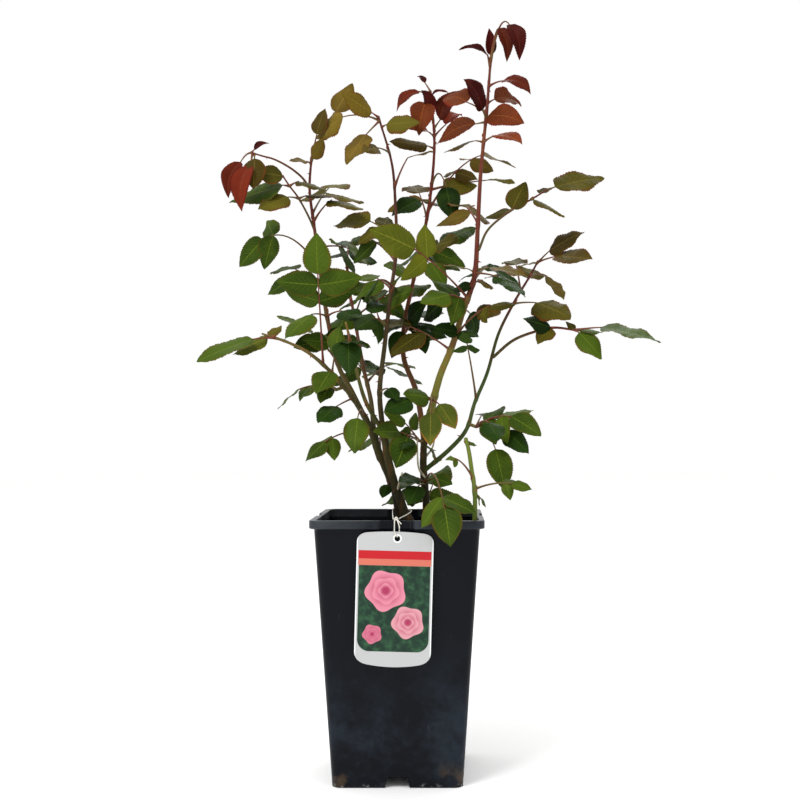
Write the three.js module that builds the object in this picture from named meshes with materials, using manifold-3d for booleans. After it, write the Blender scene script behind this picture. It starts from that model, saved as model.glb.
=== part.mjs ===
// A rose bush in its deep square nursery pot. Three old stems and a green shoot rise from the
// potting mix and carry the canes with compound leaves, broad and dark low down and bronze at
// the tips. A card hangs over the rim. Millimetres, +Z up, the card on the front, at -Y.
import * as THREE from "three";
import { mergeVertices } from "three/addons/utils/BufferGeometryUtils.js";
import Module from "manifold-3d";

const wasm = await Module();
wasm.setup();

// Pot: a tapering square tub with rounded corners, a lip and a raised floor
const POT_HEIGHT = 262;
const RIM_WIDTH = 170;
const LIP_HEIGHT = 8.2;
const WIDTH_UNDER_LIP = 161;
const FOOT_WIDTH = 128.6;
const WALL = 1.7;
const CORNER_RADIUS = 9;
const LIP_RADIUS = 11;
const LIP_DIP = { width: 33, depth: 3 };
const FLOOR = { underside: 11, thickness: 2.2 };
const FOOT_WALL = 2.6;
const FOOT_NOTCH = { height: 10.4, width: 24.5, narrowing: 2.2 };
const DRAIN = { radius: 6, offset: 36 };
const ARC_STEPS = 3;

// Potting mix that fills it
const SOIL_TOP = 235;
const SOIL_BOTTOM = FLOOR.underside + FLOOR.thickness;

// Card and its tie
const CARD = { width: 73.7, height: 130.4, thickness: 0.5, middle: -1, top: 251.9, front: -83.9 };
const CARD_HOLE = { radius: 2.8, across: 1.9, below: 6.9 };
const CARD_TURN = 1.5;
const CARD_SHOULDER = { across: 10, down: 11, pull: 3, fall: 1.6, crown: 1 };
const CARD_FOOT = { across: 12, up: 15, pull: 4.5, fall: 2.2, crown: 2.2 };
const TIE_RADIUS = 0.55;
const HOLE_AT = { x: CARD.middle + CARD_HOLE.across, z: CARD.top - CARD_HOLE.below };
const KNOT = { x: -0.4, y: -81.8, z: 264, radius: 1.7 };

// Clearance between neighbouring solids, the gap that a test leaves round a leaf, and the size of
// the slivers that are closed up where leaves join
const GAP = 0.33;
const LEAF_ROOM = 0.4;
const SLIVER = 0.12;

// Canes; those rooted in the mix start below its surface and are cut flat on it
const ROOTED = new Set(["main_stem", "twin_stem", "second_stem", "water_shoot"]);
const ROOT_DEPTH = 9;
const FLARE = { swell: 0.45, height: 9 };
const STOUT = 2.7;
const CANE_RING_SPACING = 29;

// Leaves
const PETIOLE = { base: 1.15, tip: 0.75 };
const SPUR_LENGTH = 7;
const SPUR_RADIUS = 1.7;
const LEAFLET = { width: 0.66, thickness: 0.8, fold: 0.08, droop: 0.1 };
const SMALL_LEAFLET = 32;
const PAIR_SIZES = [0.88, 0.76, 0.62];
const FIRST_PAIR = 1.3;
const PAIR_SPACING = 0.46;
const PAIR_ANGLE = 63;
const PAIR_SAG = 0.35;
const SPINE_STEPS = 64;
const STRAIGHT_BELOW = 0.2;
const NEAREST_PAIR = 0.16;
const RIB_OVERLAP = 0.01;
const VARY = { angle: 14, droop: 0.25, roll: 36, length: 0.16 };
const REAR = { apart: 52, turn: 24, bow: 0.18, pairs: 1, share: 1 };
const REAR_FROM = { rise: 8, leaflet: 42, reach: 1.8, face: 4 };
const REAR_RANGE = { rise: 34, leaflet: 9, reach: 0.5, face: 30 };

const UP = new THREE.Vector3(0, 0, 1);

// Canes: name, radius at the foot and the tip, the share of the length that stays bare below the
// leafy end, and the course. Points are measured from the middle of the pot's underside.
const CANES = [
  cane("main_stem", 4.6, 3.9, 1.0, [[2, 5, 234], [-1, 6, 261], [-5, 5, 285], [-15, 3, 310],
    [-23, 1, 328], [-29, 0, 352]]),
  cane("twin_stem", 4.8, 3.8, 1.0, [[22, -6, 235], [8, -7, 259], [-1, -7, 281], [-8, -8, 304],
    [-13, -9, 326], [-17, -9, 351]]),
  cane("second_stem", 4.0, 3.2, 1.0, [[26, 16, 233], [28, 15, 255], [24, 12, 310], [25, 8, 337],
    [31, 4, 369]]),
  cane("left_arch", 3.1, 0.9, 0.72, [[-29, -1, 350], [-47, -6, 380], [-67, -14, 405],
    [-90, -24, 426], [-114, -34, 438], [-136, -40, 445]]),
  cane("left_tall", 2.9, 1.2, 0.36, [[-30, 3, 349], [-51, 16, 389], [-66, 22, 418], [-78, 30, 468],
    [-87, 38, 523], [-93, 42, 566], [-98, 44, 604], [-96, 42, 637]]),
  cane("left_twig", 1.3, 0.8, 0.62, [[-98, 45, 606], [-105, 38, 616], [-117, 30, 625],
    [-132, 22, 632], [-144, 14, 634], [-154, 8, 636]]),
  cane("left_side_twig", 1.2, 0.8, 0.3, [[-92, 43, 559], [-98, 39, 574], [-108, 32, 593],
    [-117, 26, 605], [-123, 20, 614]]),
  cane("inner_left", 2.4, 1.1, 0.62, [[-18, -10, 349], [-33, -22, 376], [-40, -38, 401],
    [-45, -50, 428], [-51, -58, 455]]),
  cane("inner_mid", 2.6, 1.1, 0.5, [[-27, 2, 349], [-31, 16, 380], [-40, 36, 414], [-49, 58, 456],
    [-58, 76, 501], [-63, 84, 537]]),
  cane("centre", 2.8, 1.0, 0.42, [[-17, -10, 348], [-20, -14, 388], [-15, -14, 435],
    [-10, -8, 482], [-4, 0, 534], [-5, 6, 583], [-9, 8, 626], [-22, 2, 671]]),
  cane("red_top", 3.1, 1.1, 0.46, [[25, 9, 335], [17, 22, 386], [3, 28, 424], [3, 32, 458],
    [11, 36, 499], [23, 40, 553], [31, 40, 600], [35, 36, 653], [31, 30, 705]]),
  cane("tall_right", 3.9, 1.2, 0.38, [[31, 3, 365], [41, -8, 403], [54, -18, 435], [65, -27, 470],
    [76, -34, 503], [79, -40, 548], [82, -42, 605], [88, -42, 667], [92, -42, 719]]),
  cane("right_side_twig", 1.3, 0.8, 0.3, [[80, -40, 528], [90, -35, 550], [113, -27, 570],
    [134, -17, 583], [150, -9, 594]]),
  cane("right_slender", 2.5, 1.0, 0.72, [[24, 12, 306], [50, 2, 328], [68, -4, 349], [77, -2, 377],
    [90, 6, 408], [102, 14, 449], [119, 20, 483], [134, 22, 508], [144, 22, 526]]),
  cane("right_arch", 1.7, 1.1, 0.5, [[96, 8, 424], [115, -4, 440], [135, -16, 448],
    [156, -26, 452], [177, -34, 449]]),
  cane("water_shoot", 2.4, 1.9, 0.34, [[76, -48, 235], [76, -48, 260], [76, -47, 288],
    [73, -44, 309], [70, -40, 329], [67, -38, 341]]),
];

// Leaves seen from the front: the cane, how far up it the leaf stands, where the leaf ends, the
// pairs of leaflets below the end one, the end one's length, the face's tilt, the rib's bow and,
// where its pairs are smaller or larger than the rule's, their share of the rule's size.
const LEAVES = [
  leaf("tall_right", 0.98, [61, -50, 727], 0, 29, 40, 1.7),
  leaf("tall_right", 0.99, [119, -66, 711], 0, 38, 60, 2.1),
  leaf("tall_right", 0.99, [108, -56, 713], 0, 35, 50, 3.0),
  leaf("tall_right", 1.0, [90, -48, 747], 0, 26, 70, 0.0),
  leaf("tall_right", 0.93, [129, -78, 675], 0, 39, 55, 0.3),
  leaf("tall_right", 0.86, [67, -84, 685], 0, 43, 75, 0.0),
  leaf("tall_right", 0.87, [42, 14, 695], 0, 43, 70, 0.1),
  leaf("tall_right", 0.86, [123, -66, 649], 0, 43, 75, 0.25),
  leaf("tall_right", 0.85, [35, -20, 642], 0, 47, 50, 0.1),
  leaf("tall_right", 0.89, [128, -8, 684], 0, 43, 65, 0.25),
  leaf("tall_right", 0.81, [44, -16, 634], 0, 39, 25, 0.2),
  leaf("tall_right", 0.81, [121, -80, 626], 0, 39, 35, 0.3),
  leaf("tall_right", 0.42, [-20, -104, 540], 1, 51, 75, 0.14, 0.8),
  leaf("tall_right", 0.51, [125, -92, 482], 0, 45, 8, 0.1),
  leaf("tall_right", 0.52, [128, -60, 504], 0, 43, 12, 0.1),
  leaf("tall_right", 0.51, [46, -62, 514], 0, 35, 20, 0.1),
  leaf("tall_right", 0.47, [52, -30, 490], 0, 25, 50, 0.1),
  leaf("tall_right", 0.41, [23, -70, 475], 1, 39, 60, 0.2),
  leaf("tall_right", 0.39, [20, 24, 465], 0, 39, 65, 0.3),
  leaf("tall_right", 0.47, [95, 20, 499], 0, 27, 50, 0.2),
  leaf("tall_right", 0.37, [81, 10, 446], 0, 31, 60, 0.4),
  leaf("tall_right", 0.28, [114, -70, 472], 1, 28, 35, 0.3),
  leaf("tall_right", 0.28, [35, -40, 453], 0, 29, 60, 0.1),
  leaf("tall_right", 0.28, [79, -52, 444], 0, 29, 55, 0.4),
  leaf("tall_right", 0.06, [32, -64, 335], 0, 35, 80, 0.5),
  leaf("tall_right", 0.06, [57, -46, 352], 0, 37, 60, 0.2),
  leaf("tall_right", 0.06, [6, -40, 386], 0, 35, 60, 0.3),
  leaf("tall_right", 0.06, [-12, -56, 370], 0, 35, 55, 0.15),
  leaf("red_top", 0.98, [-5, 20, 683], 0, 33, 50, 0.7),
  leaf("red_top", 0.98, [20, -6, 652], 0, 41, 80, 0.5),
  leaf("red_top", 0.99, [49, 24, 705], 0, 20, 40, 2.0),
  leaf("red_top", 0.93, [25, -4, 696], 0, 33, 75, 0.0),
  leaf("red_top", 0.91, [66, 40, 712], 0, 43, 75, 0.0),
  leaf("red_top", 0.89, [7, 4, 661], 0, 33, 60, 0.2),
  leaf("red_top", 0.89, [65, 78, 694], 0, 35, 40, 0.1),
  leaf("red_top", 1.0, [16, 44, 726], 0, 16, 40, 0.2),
  leaf("red_top", 0.86, [-11, 20, 654], 0, 41, 40, 0.1),
  leaf("red_top", 0.76, [82, 60, 614], 0, 41, 60, 0.1),
  leaf("red_top", 0.76, [123, 92, 626], 0, 37, 12, 0.05),
  leaf("red_top", 0.7, [126, 96, 642], 2, 45, 30, 0.5, 0.8),
  leaf("red_top", 0.77, [54, 2, 567], 0, 37, 85, 0.9),
  leaf("red_top", 0.73, [-9, 10, 575], 0, 39, 55, 0.2),
  leaf("red_top", 0.59, [59, -10, 545], 0, 36, 60, 0.0),
  leaf("red_top", 0.57, [48, 10, 500], 0, 35, 60, 0.3),
  leaf("red_top", 0.53, [-15, 2, 521], 0, 33, 60, 0.1),
  leaf("red_top", 0.38, [27, -14, 428], 0, 29, 70, 0.3),
  leaf("red_top", 0.38, [33, 0, 446], 0, 29, 50, 0.3),
  leaf("red_top", 0.38, [-9, 8, 424], 0, 31, 70, 0.3),
  leaf("red_top", 0.38, [25, -6, 482], 0, 37, 60, 0.1),
  leaf("red_top", 0.38, [-2, -14, 473], 0, 29, 60, 0.1),
  leaf("centre", 1.0, [-57, -28, 689], 0, 40, 65, 0.0),
  leaf("centre", 0.99, [-55, -34, 620], 0, 43, 18, 0.02),
  leaf("centre", 0.99, [-96, 48, 662], 0, 44, 62, 0.3),
  leaf("centre", 0.97, [19, -16, 664], 0, 37, 65, 0.15),
  leaf("centre", 0.89, [-34, -40, 630], 0, 29, 75, 0.1),
  leaf("centre", 0.77, [34, -24, 633], 0, 33, 25, 0.6),
  leaf("centre", 0.6, [-74, 34, 570], 1, 47, 50, 0.3, 0.75),
  leaf("centre", 0.54, [-57, 66, 558], 1, 39, 55, 0.2),
  leaf("centre", 0.46, [-50, 36, 512], 1, 37, 30, 0.2),
  leaf("centre", 0.47, [-37, -42, 477], 0, 31, -30, 0.5),
  leaf("centre", 0.45, [12, -50, 514], 0, 37, 50, 0.1),
  leaf("centre", 0.35, [-41, -54, 451], 1, 35, 60, 0.2),
  leaf("centre", 0.35, [-30, 16, 488], 0, 29, 60, 0.0),
  leaf("centre", 0.14, [0, -50, 381], 0, 25, 50, 0.3),
  leaf("left_tall", 0.98, [-116, 20, 633], 0, 23, 45, 0.1),
  leaf("left_tall", 0.99, [-82, 30, 656], 0, 25, 70, 0.0),
  leaf("left_tall", 1.0, [-83, 36, 691], 0, 29, 40, 0.0),
  leaf("left_tall", 0.99, [-54, 50, 722], 0, 37, 50, 0.0),
  leaf("left_tall", 0.73, [-37, -6, 577], 0, 49, 12, 0.5),
  leaf("left_tall", 0.56, [-180, 76, 527], 1, 41, 70, 0.7, 1.1),
  leaf("left_tall", 0.63, [-35, 104, 536], 1, 39, 55, 0.2),
  leaf("left_tall", 0.43, [-117, -20, 444], 0, 47, 25, 0.3),
  leaf("left_tall", 0.43, [-39, -22, 462], 0, 37, 40, 0.2),
  leaf("left_tall", 0.34, [-97, -10, 442], 0, 33, 70, 0.2),
  leaf("left_tall", 0.34, [-61, -8, 453], 0, 31, 75, 0.0),
  leaf("left_arch", 0.88, [-197, -66, 420], 0, 60, 20, 0.12),
  leaf("left_arch", 0.8, [-168, -34, 428], 0, 39, 35, 0.25),
  leaf("left_arch", 0.93, [-119, -24, 456], 0, 21, 40, 0.3),
  leaf("left_arch", 0.49, [-77, -92, 536], 2, 40, 62, 0.0, 1.22),
  leaf("left_arch", 0.4, [-80, -58, 386], 0, 39, 60, 0.4),
  leaf("left_arch", 0.4, [-58, -62, 449], 0, 35, 62, 0.0),
  leaf("left_arch", 0.3, [-127, -10, 373], 1, 31, 10, 0.35),
  leaf("left_arch", 0.3, [-77, -52, 377], 0, 27, 20, 0.4),
  leaf("left_arch", 0.21, [-76, -70, 360], 0, 38, 50, 0.05),
  leaf("left_arch", 0.08, [-43, -64, 329], 0, 39, 80, 0.6),
  leaf("main_stem", 0.94, [-93, -46, 319], 1, 29, 35, 0.3),
  leaf("main_stem", 0.49, [-17, -22, 281], 0, 19, 60, 0.2),
  leaf("inner_left", 0.75, [-45, -92, 437], 0, 35, 75, 0.3),
  leaf("inner_left", 0.83, [-58, -86, 420], 0, 31, 65, 0.3),
  leaf("inner_left", 0.89, [-45, -98, 405], 0, 37, 72, 0.3),
  leaf("inner_mid", 0.6, [12, -10, 494], 0, 47, 60, 0.15),
  leaf("inner_mid", 0.74, [-90, 96, 535], 1, 39, 50, 0.2),
  leaf("inner_mid", 0.79, [-36, 112, 494], 1, 35, 40, 0.2),
  leaf("second_stem", 0.75, [-1, -60, 314], 0, 41, 72, 0.5),
  leaf("second_stem", 0.75, [-13, -24, 369], 1, 27, 50, 0.2),
  leaf("second_stem", 0.75, [4, -52, 332], 0, 25, 40, 0.2),
  leaf("second_stem", 0.75, [-24, -46, 348], 0, 35, 65, 0.15),
  leaf("second_stem", 0.43, [52, -128, 243], 1, 43, 75, 0.45),
  leaf("second_stem", 0.43, [1, -34, 300], 0, 31, 50, 0.25),
  leaf("second_stem", 0.43, [11, -44, 277], 0, 31, 60, 0.2),
  leaf("second_stem", 0.43, [53, -26, 295], 0, 25, 70, 0.3),
  leaf("right_slender", 0.74, [170, -46, 465], 0, 51, 45, 0.12),
  leaf("right_slender", 0.74, [80, -40, 463], 0, 35, 40, 0.1),
  leaf("right_slender", 0.88, [176, 64, 491], 0, 37, 20, 0.4),
  leaf("right_slender", 0.98, [185, -10, 555], 0, 43, 50, 0.1),
  leaf("right_slender", 0.99, [192, -38, 523], 0, 49, 45, 0.1),
  leaf("right_slender", 0.98, [124, 44, 526], 0, 29, 20, 0.2),
  leaf("right_slender", 0.39, [65, -70, 446], 1, 19, 15, 0.1),
  leaf("right_slender", 0.28, [141, -56, 346], 2, 39, 45, 0.35),
  leaf("right_slender", 0.28, [130, -50, 329], 0, 35, 60, 0.25),
  leaf("right_slender", 0.28, [99, -78, 341], 0, 35, 40, 0.3),
  leaf("right_slender", 0.28, [92, 34, 368], 0, 25, 50, 0.2),
  leaf("right_slender", 0.28, [108, -30, 288], 0, 43, 30, 0.55),
  leaf("right_slender", 0.06, [31, -20, 333], 1, 14, 50, 0.2),
  leaf("water_shoot", 0.52, [47, -66, 321], 1, 11, 45, 0.4),
  leaf("water_shoot", 0.42, [131, -70, 292], 1, 21, 45, 0.2),
  leaf("water_shoot", 0.39, [89, -38, 272], 1, 12, 30, 0.1),
  leaf("water_shoot", 0.91, [79, -34, 334], 0, 11, 40, 0.2),
  leaf("left_twig", 0.98, [-163, -2, 574], 0, 49, 45, 0.0),
  leaf("left_twig", 0.98, [-178, 6, 589], 0, 39, 60, 0.5),
  leaf("left_twig", 0.94, [-150, -6, 597], 0, 35, 72, 0.1),
  leaf("left_twig", 1.0, [-136, 8, 647], 0, 17, 60, 0.3),
  leaf("left_side_twig", 1.0, [-158, 8, 619], 0, 41, 62, 0.05),
  leaf("left_side_twig", 0.75, [-182, 26, 590], 0, 60, 35, 0.2),
  leaf("left_side_twig", 0.75, [-75, 0, 598], 0, 39, 12, 0.3),
  leaf("left_side_twig", 0.5, [-146, 0, 578], 0, 39, 50, 0.2),
  leaf("left_side_twig", 0.5, [-60, 10, 594], 0, 43, 10, 0.15),
  leaf("right_side_twig", 1.0, [213, 14, 617], 0, 60, 42, 0.03),
  leaf("right_side_twig", 0.75, [169, -26, 568], 0, 37, 14, 0.2),
  leaf("right_side_twig", 0.75, [156, 10, 601], 0, 21, 20, 0.0),
  leaf("right_side_twig", 0.5, [128, -20, 602], 0, 34, 78, 0.0),
  leaf("right_side_twig", 0.5, [86, -16, 566], 0, 28, 35, 0.15),
  leaf("right_arch", 1.0, [257, -72, 440], 0, 63, 16, 0.12),
  leaf("right_arch", 1.0, [202, -52, 422], 0, 36, 62, 0.1),
  leaf("right_arch", 1.0, [206, -24, 451], 0, 29, 15, 0.1),
  leaf("right_arch", 1.0, [168, -30, 459], 0, 13, 50, 0.0),
  leaf("right_arch", 0.72, [126, -40, 462], 0, 33, 60, 0.1),
  leaf("right_arch", 0.72, [138, -44, 436], 0, 29, 50, 0.2),
];

// Sprays that the front hides: the cane, how far up it they stand, their compass bearing from +X
// towards the back, and their leaves.
const REAR_SPRAYS = [
  rear("main_stem", 0.72, 100, 1), rear("second_stem", 0.3, 105, 2), rear("tall_right", 0.23, 160, 1),
  rear("tall_right", 0.48, 80, 1), rear("tall_right", 0.64, 110, 1), rear("red_top", 0.34, 80, 2),
  rear("red_top", 0.54, 60, 2), rear("red_top", 0.68, 110, 1), rear("left_tall", 0.29, 125, 2),
  rear("left_tall", 0.5, 125, 1), rear("left_tall", 0.76, 60, 1), rear("inner_mid", 0.3, 100, 2),
  rear("inner_mid", 0.66, 60, 2), rear("inner_mid", 0.9, 90, 1), rear("right_slender", 0.8, 95, 1),
];

function cane(name, foot, tip, bare, points) {
  const course = new THREE.CatmullRomCurve3(points.map((p) => new THREE.Vector3(...p)), false, "catmullrom");
  return { name, foot, tip, bare, course };
}

function leaf(cane, at, tip, pairs, leaflet, face, bow, share = 1) {
  return { cane, at, tip: new THREE.Vector3(...tip), pairs, leaflet, face, bow, share };
}

function rear(cane, at, bearing, leaves) {
  return { cane, at, bearing, leaves };
}

// A stream of repeatable random numbers from 0 to 1
function stream(seed) {
  let state = Math.imul(seed + 1, 0x9e3779b1) >>> 0;
  return () => {
    state = (state + 0x6d2b79f5) >>> 0;
    let mixed = Math.imul(state ^ (state >>> 15), state | 1);
    mixed ^= mixed + Math.imul(mixed ^ (mixed >>> 7), mixed | 61);
    return ((mixed ^ (mixed >>> 14)) >>> 0) / 4294967296;
  };
}

const radians = THREE.MathUtils.degToRad;
const lerp = THREE.MathUtils.lerp;

// Moves every vertex of a geometry to where a rule puts it
function reshape(geometry, rule) {
  const places = geometry.attributes.position;
  const point = new THREE.Vector3();
  for (let k = 0; k < places.count; k++) {
    const moved = rule(point.fromBufferAttribute(places, k));
    places.setXYZ(k, moved.x, moved.y, moved.z);
  }
  return geometry;
}

function solid(geometry) {
  const bare = new THREE.BufferGeometry().setAttribute("position", geometry.attributes.position);
  bare.setIndex(geometry.index);
  const merged = mergeVertices(bare, 1e-4);
  const vertProperties = new Float32Array(merged.attributes.position.array);
  const triVerts = new Uint32Array(merged.index.array);
  return new wasm.Manifold(new wasm.Mesh({ numProp: 3, vertProperties, triVerts }));
}

function largest(body) {
  return body.decompose().sort((a, b) => b.volume() - a.volume())[0];
}

const evenly = (from, to, steps) =>
  Array.from({ length: steps + 1 }, (_, k) => lerp(from, to, k / steps));

// A tapering round stem along a curve: a cylinder whose rings are set square to it at the places
// given. Spare room makes it wider and longer, for cutting its neighbours clear of it.
function stem(curve, places, radiusAt, sides, spare = 0, root = 0) {
  const rings = [];
  const steps = places.length - 1;
  const start = curve.getTangent(places[0]);
  let across = Math.abs(start.x) < 0.8 ? new THREE.Vector3(1, 0, 0) : new THREE.Vector3(0, 0, 1);
  for (const [k, t] of places.entries()) {
    const along = curve.getTangent(t);
    across = across.clone().addScaledVector(along, -across.dot(along)).normalize();
    const overrun = k === 0 ? -spare - root : k === steps ? spare : 0;
    const centre = curve.getPoint(t).addScaledVector(along, overrun);
    const third = new THREE.Vector3().crossVectors(across, along);
    rings.push({ centre, across, third, radius: radiusAt(t) + spare });
  }
  const round = new THREE.CylinderGeometry(1, 1, steps, sides, steps);
  return reshape(round, (p) => {
    const ring = rings[Math.round(p.y + steps / 2)];
    return ring.centre.clone().addScaledVector(ring.across, p.x * ring.radius)
      .addScaledVector(ring.third, p.z * ring.radius);
  });
}

// Half the width of a leaflet, as a share of its greatest, from its foot (0) to its point (1)
function outline(u) {
  return Math.sin(Math.PI * u ** 0.85) ** 0.65;
}

// One leaflet: a three-sided ball drawn out to a flat blade with a ridge along its upper side, and
// with one ring of corners, not two, where it is small
function blade(foot, along, face, length, room = 0) {
  const across = new THREE.Vector3().crossVectors(along, face);
  const start = foot.clone().addScaledVector(along, -room);
  const steps = length < SMALL_LEAFLET ? 2 : 3;
  return reshape(new THREE.SphereGeometry(1, 3, steps), (p) => {
    const u = (1 + p.y) / 2;
    const round = Math.sqrt(Math.max(0, 1 - p.y * p.y));
    const onRidge = round > 0.01 && p.z > 0.2;
    const side = onRidge || round < 0.01 ? 0 : Math.sign(p.x);
    const half = outline(u) * (LEAFLET.width / 2) * length + room;
    const skin = onRidge ? LEAFLET.thickness + LEAFLET.fold * half + room : -room * Math.abs(side);
    const rise = skin - LEAFLET.droop * length * u * u;
    return start.clone().addScaledVector(along, u * (length + 2 * room))
      .addScaledVector(across, side * half).addScaledVector(face, rise);
  });
}

// The last place on a spine that lies a given distance or more from its end
function backFrom(spine, tip, distance) {
  for (let k = SPINE_STEPS - 1; k > 0; k--) {
    if (spine.getPoint(k / SPINE_STEPS).distanceTo(tip) >= distance) return k / SPINE_STEPS;
  }
  return 0;
}

function squareTo(vector, along) {
  return vector.clone().addScaledVector(along, -vector.dot(along)).normalize();
}

// The places of a compound leaf's rib and leaflets. The rib bows up from the cane and over to the
// end leaflet; pairs stand back along it, at its joints. The face is the upper side's tilt forward.
function compoundLeaf(base, plan, random) {
  const reach = base.distanceTo(plan.tip);
  const middle = base.clone().lerp(plan.tip, 0.5).addScaledVector(UP, plan.bow * reach);
  const spine = new THREE.QuadraticBezierCurve3(base, middle, plan.tip);
  const tilt = radians(plan.face);
  const facing = new THREE.Vector3(0, -Math.sin(tilt), Math.cos(tilt));
  const end = backFrom(spine, plan.tip, plan.leaflet);
  const start = spine.getPoint(end);
  const forward = plan.tip.clone().sub(start).normalize();
  const leaflets = [{ foot: start, along: forward, facing, length: start.distanceTo(plan.tip), swing: 0 }];
  const joints = [];
  for (let pair = 0; pair < plan.pairs; pair++) {
    const back = plan.leaflet * (FIRST_PAIR + pair * PAIR_SPACING);
    const t = Math.max(NEAREST_PAIR, backFrom(spine, plan.tip, back));
    joints.unshift(t);
    const rib = spine.getTangent(t);
    const normal = squareTo(facing, rib);
    for (const side of [-1, 1]) {
      const angle = side * radians(PAIR_ANGLE + VARY.angle * (random() - 0.5));
      const away = rib.clone().applyAxisAngle(normal, angle);
      away.addScaledVector(normal, -VARY.droop * random()).addScaledVector(UP, -PAIR_SAG).normalize();
      const lean = normal.clone().applyAxisAngle(away, radians(VARY.roll * (random() - 0.5)));
      const size = plan.leaflet * plan.share * PAIR_SIZES[pair];
      const length = size * (1 + VARY.length * (random() - 0.5));
      leaflets.push({ foot: spine.getPoint(t), along: away, facing: lean, length, swing: side });
    }
  }
  if (plan.pairs === 0 && plan.bow > STRAIGHT_BELOW) joints.push(end / 2);
  const places = [0, ...new Set(joints), Math.min(1, end + RIB_OVERLAP)];
  return { spine, places, leaflets };
}

// Solids placed so far, each with the room that the next ones keep clear of
const placed = [];

function meets(a, b) {
  return [0, 1, 2].every((k) => a.min[k] <= b.max[k] && b.min[k] <= a.max[k]);
}

function isClear(body, owner) {
  const box = body.boundingBox();
  const near = placed.filter((other) => other.name !== owner && meets(box, other.box));
  return near.every((other) => body.intersect(other.room).isEmpty());
}

function claim(name, room) {
  placed.push({ name, room, box: room.boundingBox() });
}

function cutClear(body) {
  const box = body.boundingBox();
  const near = placed.filter((other) => meets(box, other.box));
  return near.reduce((rest, other) => rest.subtract(other.room), body);
}

// Leaflets that would touch a neighbour are rolled, swung and shortened a little, then left out
const TRIES = [0, 14, -14, 26, -26];
const SHRINK = 150;

function leafSolids(base, plan, owner, random) {
  const { spine, places, leaflets } = compoundLeaf(base, plan, random);
  const thickness = (t) => lerp(PETIOLE.base, PETIOLE.tip, t);
  const rib = (spare) => solid(stem(spine, places, thickness, 3, spare));
  if (!isClear(rib(LEAF_ROOM), owner)) return [];
  const parts = [rib(0)];
  for (const { foot, along, facing, length, swing } of leaflets) {
    for (const turn of TRIES) {
      const face = squareTo(facing, along);
      const aimed = along.clone().applyAxisAngle(face, radians(turn) * Math.abs(swing));
      const rolled = squareTo(face, aimed).applyAxisAngle(aimed, radians(turn));
      const size = length * (1 - Math.abs(turn) / SHRINK);
      if (!isClear(solid(blade(foot, aimed, rolled, size, LEAF_ROOM)))) continue;
      parts.push(solid(blade(foot, aimed, rolled, size)));
      break;
    }
  }
  return parts;
}

function caneRadius(plan) {
  return (t) => {
    const above = plan.course.getPoint(t).z - SOIL_TOP;
    const swell = 1 + FLARE.swell * Math.exp(-Math.max(0, above) / FLARE.height);
    return lerp(plan.foot, plan.tip, t) * swell;
  };
}

const ringCount = (plan, from, to) =>
  Math.max(2, Math.round((plan.course.getLength() * (to - from)) / CANE_RING_SPACING));
const sidesOf = (plan) => (plan.foot > STOUT ? 8 : 6);

// Bare part of each cane, cut flat at the potting mix and clear of the canes it springs from
function growCane(plan) {
  const root = ROOTED.has(plan.name) ? ROOT_DEPTH : 0;
  const steps = ringCount(plan, 0, plan.bare);
  const make = (spare) =>
    solid(stem(plan.course, evenly(0, plan.bare, steps), caneRadius(plan), sidesOf(plan), spare, root));
  const body = largest(cutClear(make(0)));
  claim(plan.name, make(GAP));
  return body;
}

// Rear sprays are ordinary leaves whose ends a seeded rule sets out behind the cane
function rearLeaves(spray, base, random) {
  const leaves = [];
  for (let k = 0; k < spray.leaves; k++) {
    const turn = (k - (spray.leaves - 1) / 2) * REAR.apart + REAR.turn * (random() - 0.5);
    const some = (key) => REAR_FROM[key] + REAR_RANGE[key] * random();
    const azimuth = radians(spray.bearing + turn);
    const polar = radians(90 - some("rise"));
    const leaflet = some("leaflet");
    const reach = leaflet * some("reach");
    const step = new THREE.Vector3(Math.cos(azimuth), Math.sin(azimuth), 0).multiplyScalar(Math.sin(polar));
    const tip = base.clone().addScaledVector(step.setZ(Math.cos(polar)), reach);
    leaves.push({ ...REAR, tip, leaflet, face: some("face") });
  }
  return leaves;
}

function leavesAt(plan, at, random) {
  const base = plan.course.getPoint(at);
  const seen = LEAVES.filter((row) => row.cane === plan.name && row.at === at);
  const hidden = REAR_SPRAYS.filter((row) => row.cane === plan.name && row.at === at);
  return seen.concat(hidden.flatMap((row) => rearLeaves(row, base, random)));
}

const heightsOn = (plan) =>
  [...new Set(LEAVES.concat(REAR_SPRAYS).filter((row) => row.cane === plan.name).map((row) => row.at))]
    .sort((a, b) => a - b);

// Leafy end of a cane: the cane goes on as the stem of the mass, with its leaves fused on
function growLeafyEnd(plan, seed) {
  const random = stream(seed);
  const steps = ringCount(plan, plan.bare, 1);
  const parts = [solid(stem(plan.course, evenly(plan.bare, 1, steps), caneRadius(plan), 4))];
  for (const at of heightsOn(plan).filter((height) => height > plan.bare)) {
    const base = plan.course.getPoint(at);
    for (const row of leavesAt(plan, at, random)) parts.push(...leafSolids(base, row, plan.name, random));
  }
  return fuse(parts);
}

// Spray on the bare part of a cane: a short spur, or a single leaf's own stalk, with its leaves
function growSpray(plan, at, seed) {
  const random = stream(seed);
  const rows = leavesAt(plan, at, random);
  const foot = plan.course.getPoint(at);
  if (rows.length === 1) return fuse(leafSolids(foot, rows[0], plan.name, random));
  const out = new THREE.Vector3();
  for (const row of rows) out.add(row.tip.clone().sub(foot).normalize());
  out.normalize();
  const end = foot.clone().addScaledVector(out, caneRadius(plan)(at) + SPUR_LENGTH);
  const spur = solid(stem(new THREE.LineCurve3(foot, end), [0, 1], () => SPUR_RADIUS, 4));
  const parts = [spur];
  for (const row of rows) parts.push(...leafSolids(end, row, plan.name, random));
  return fuse(parts);
}

function fuse(parts) {
  const whole = parts.reduce((joined, part) => joined.add(part));
  return largest(cutClear(whole)).simplify(SLIVER);
}

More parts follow.
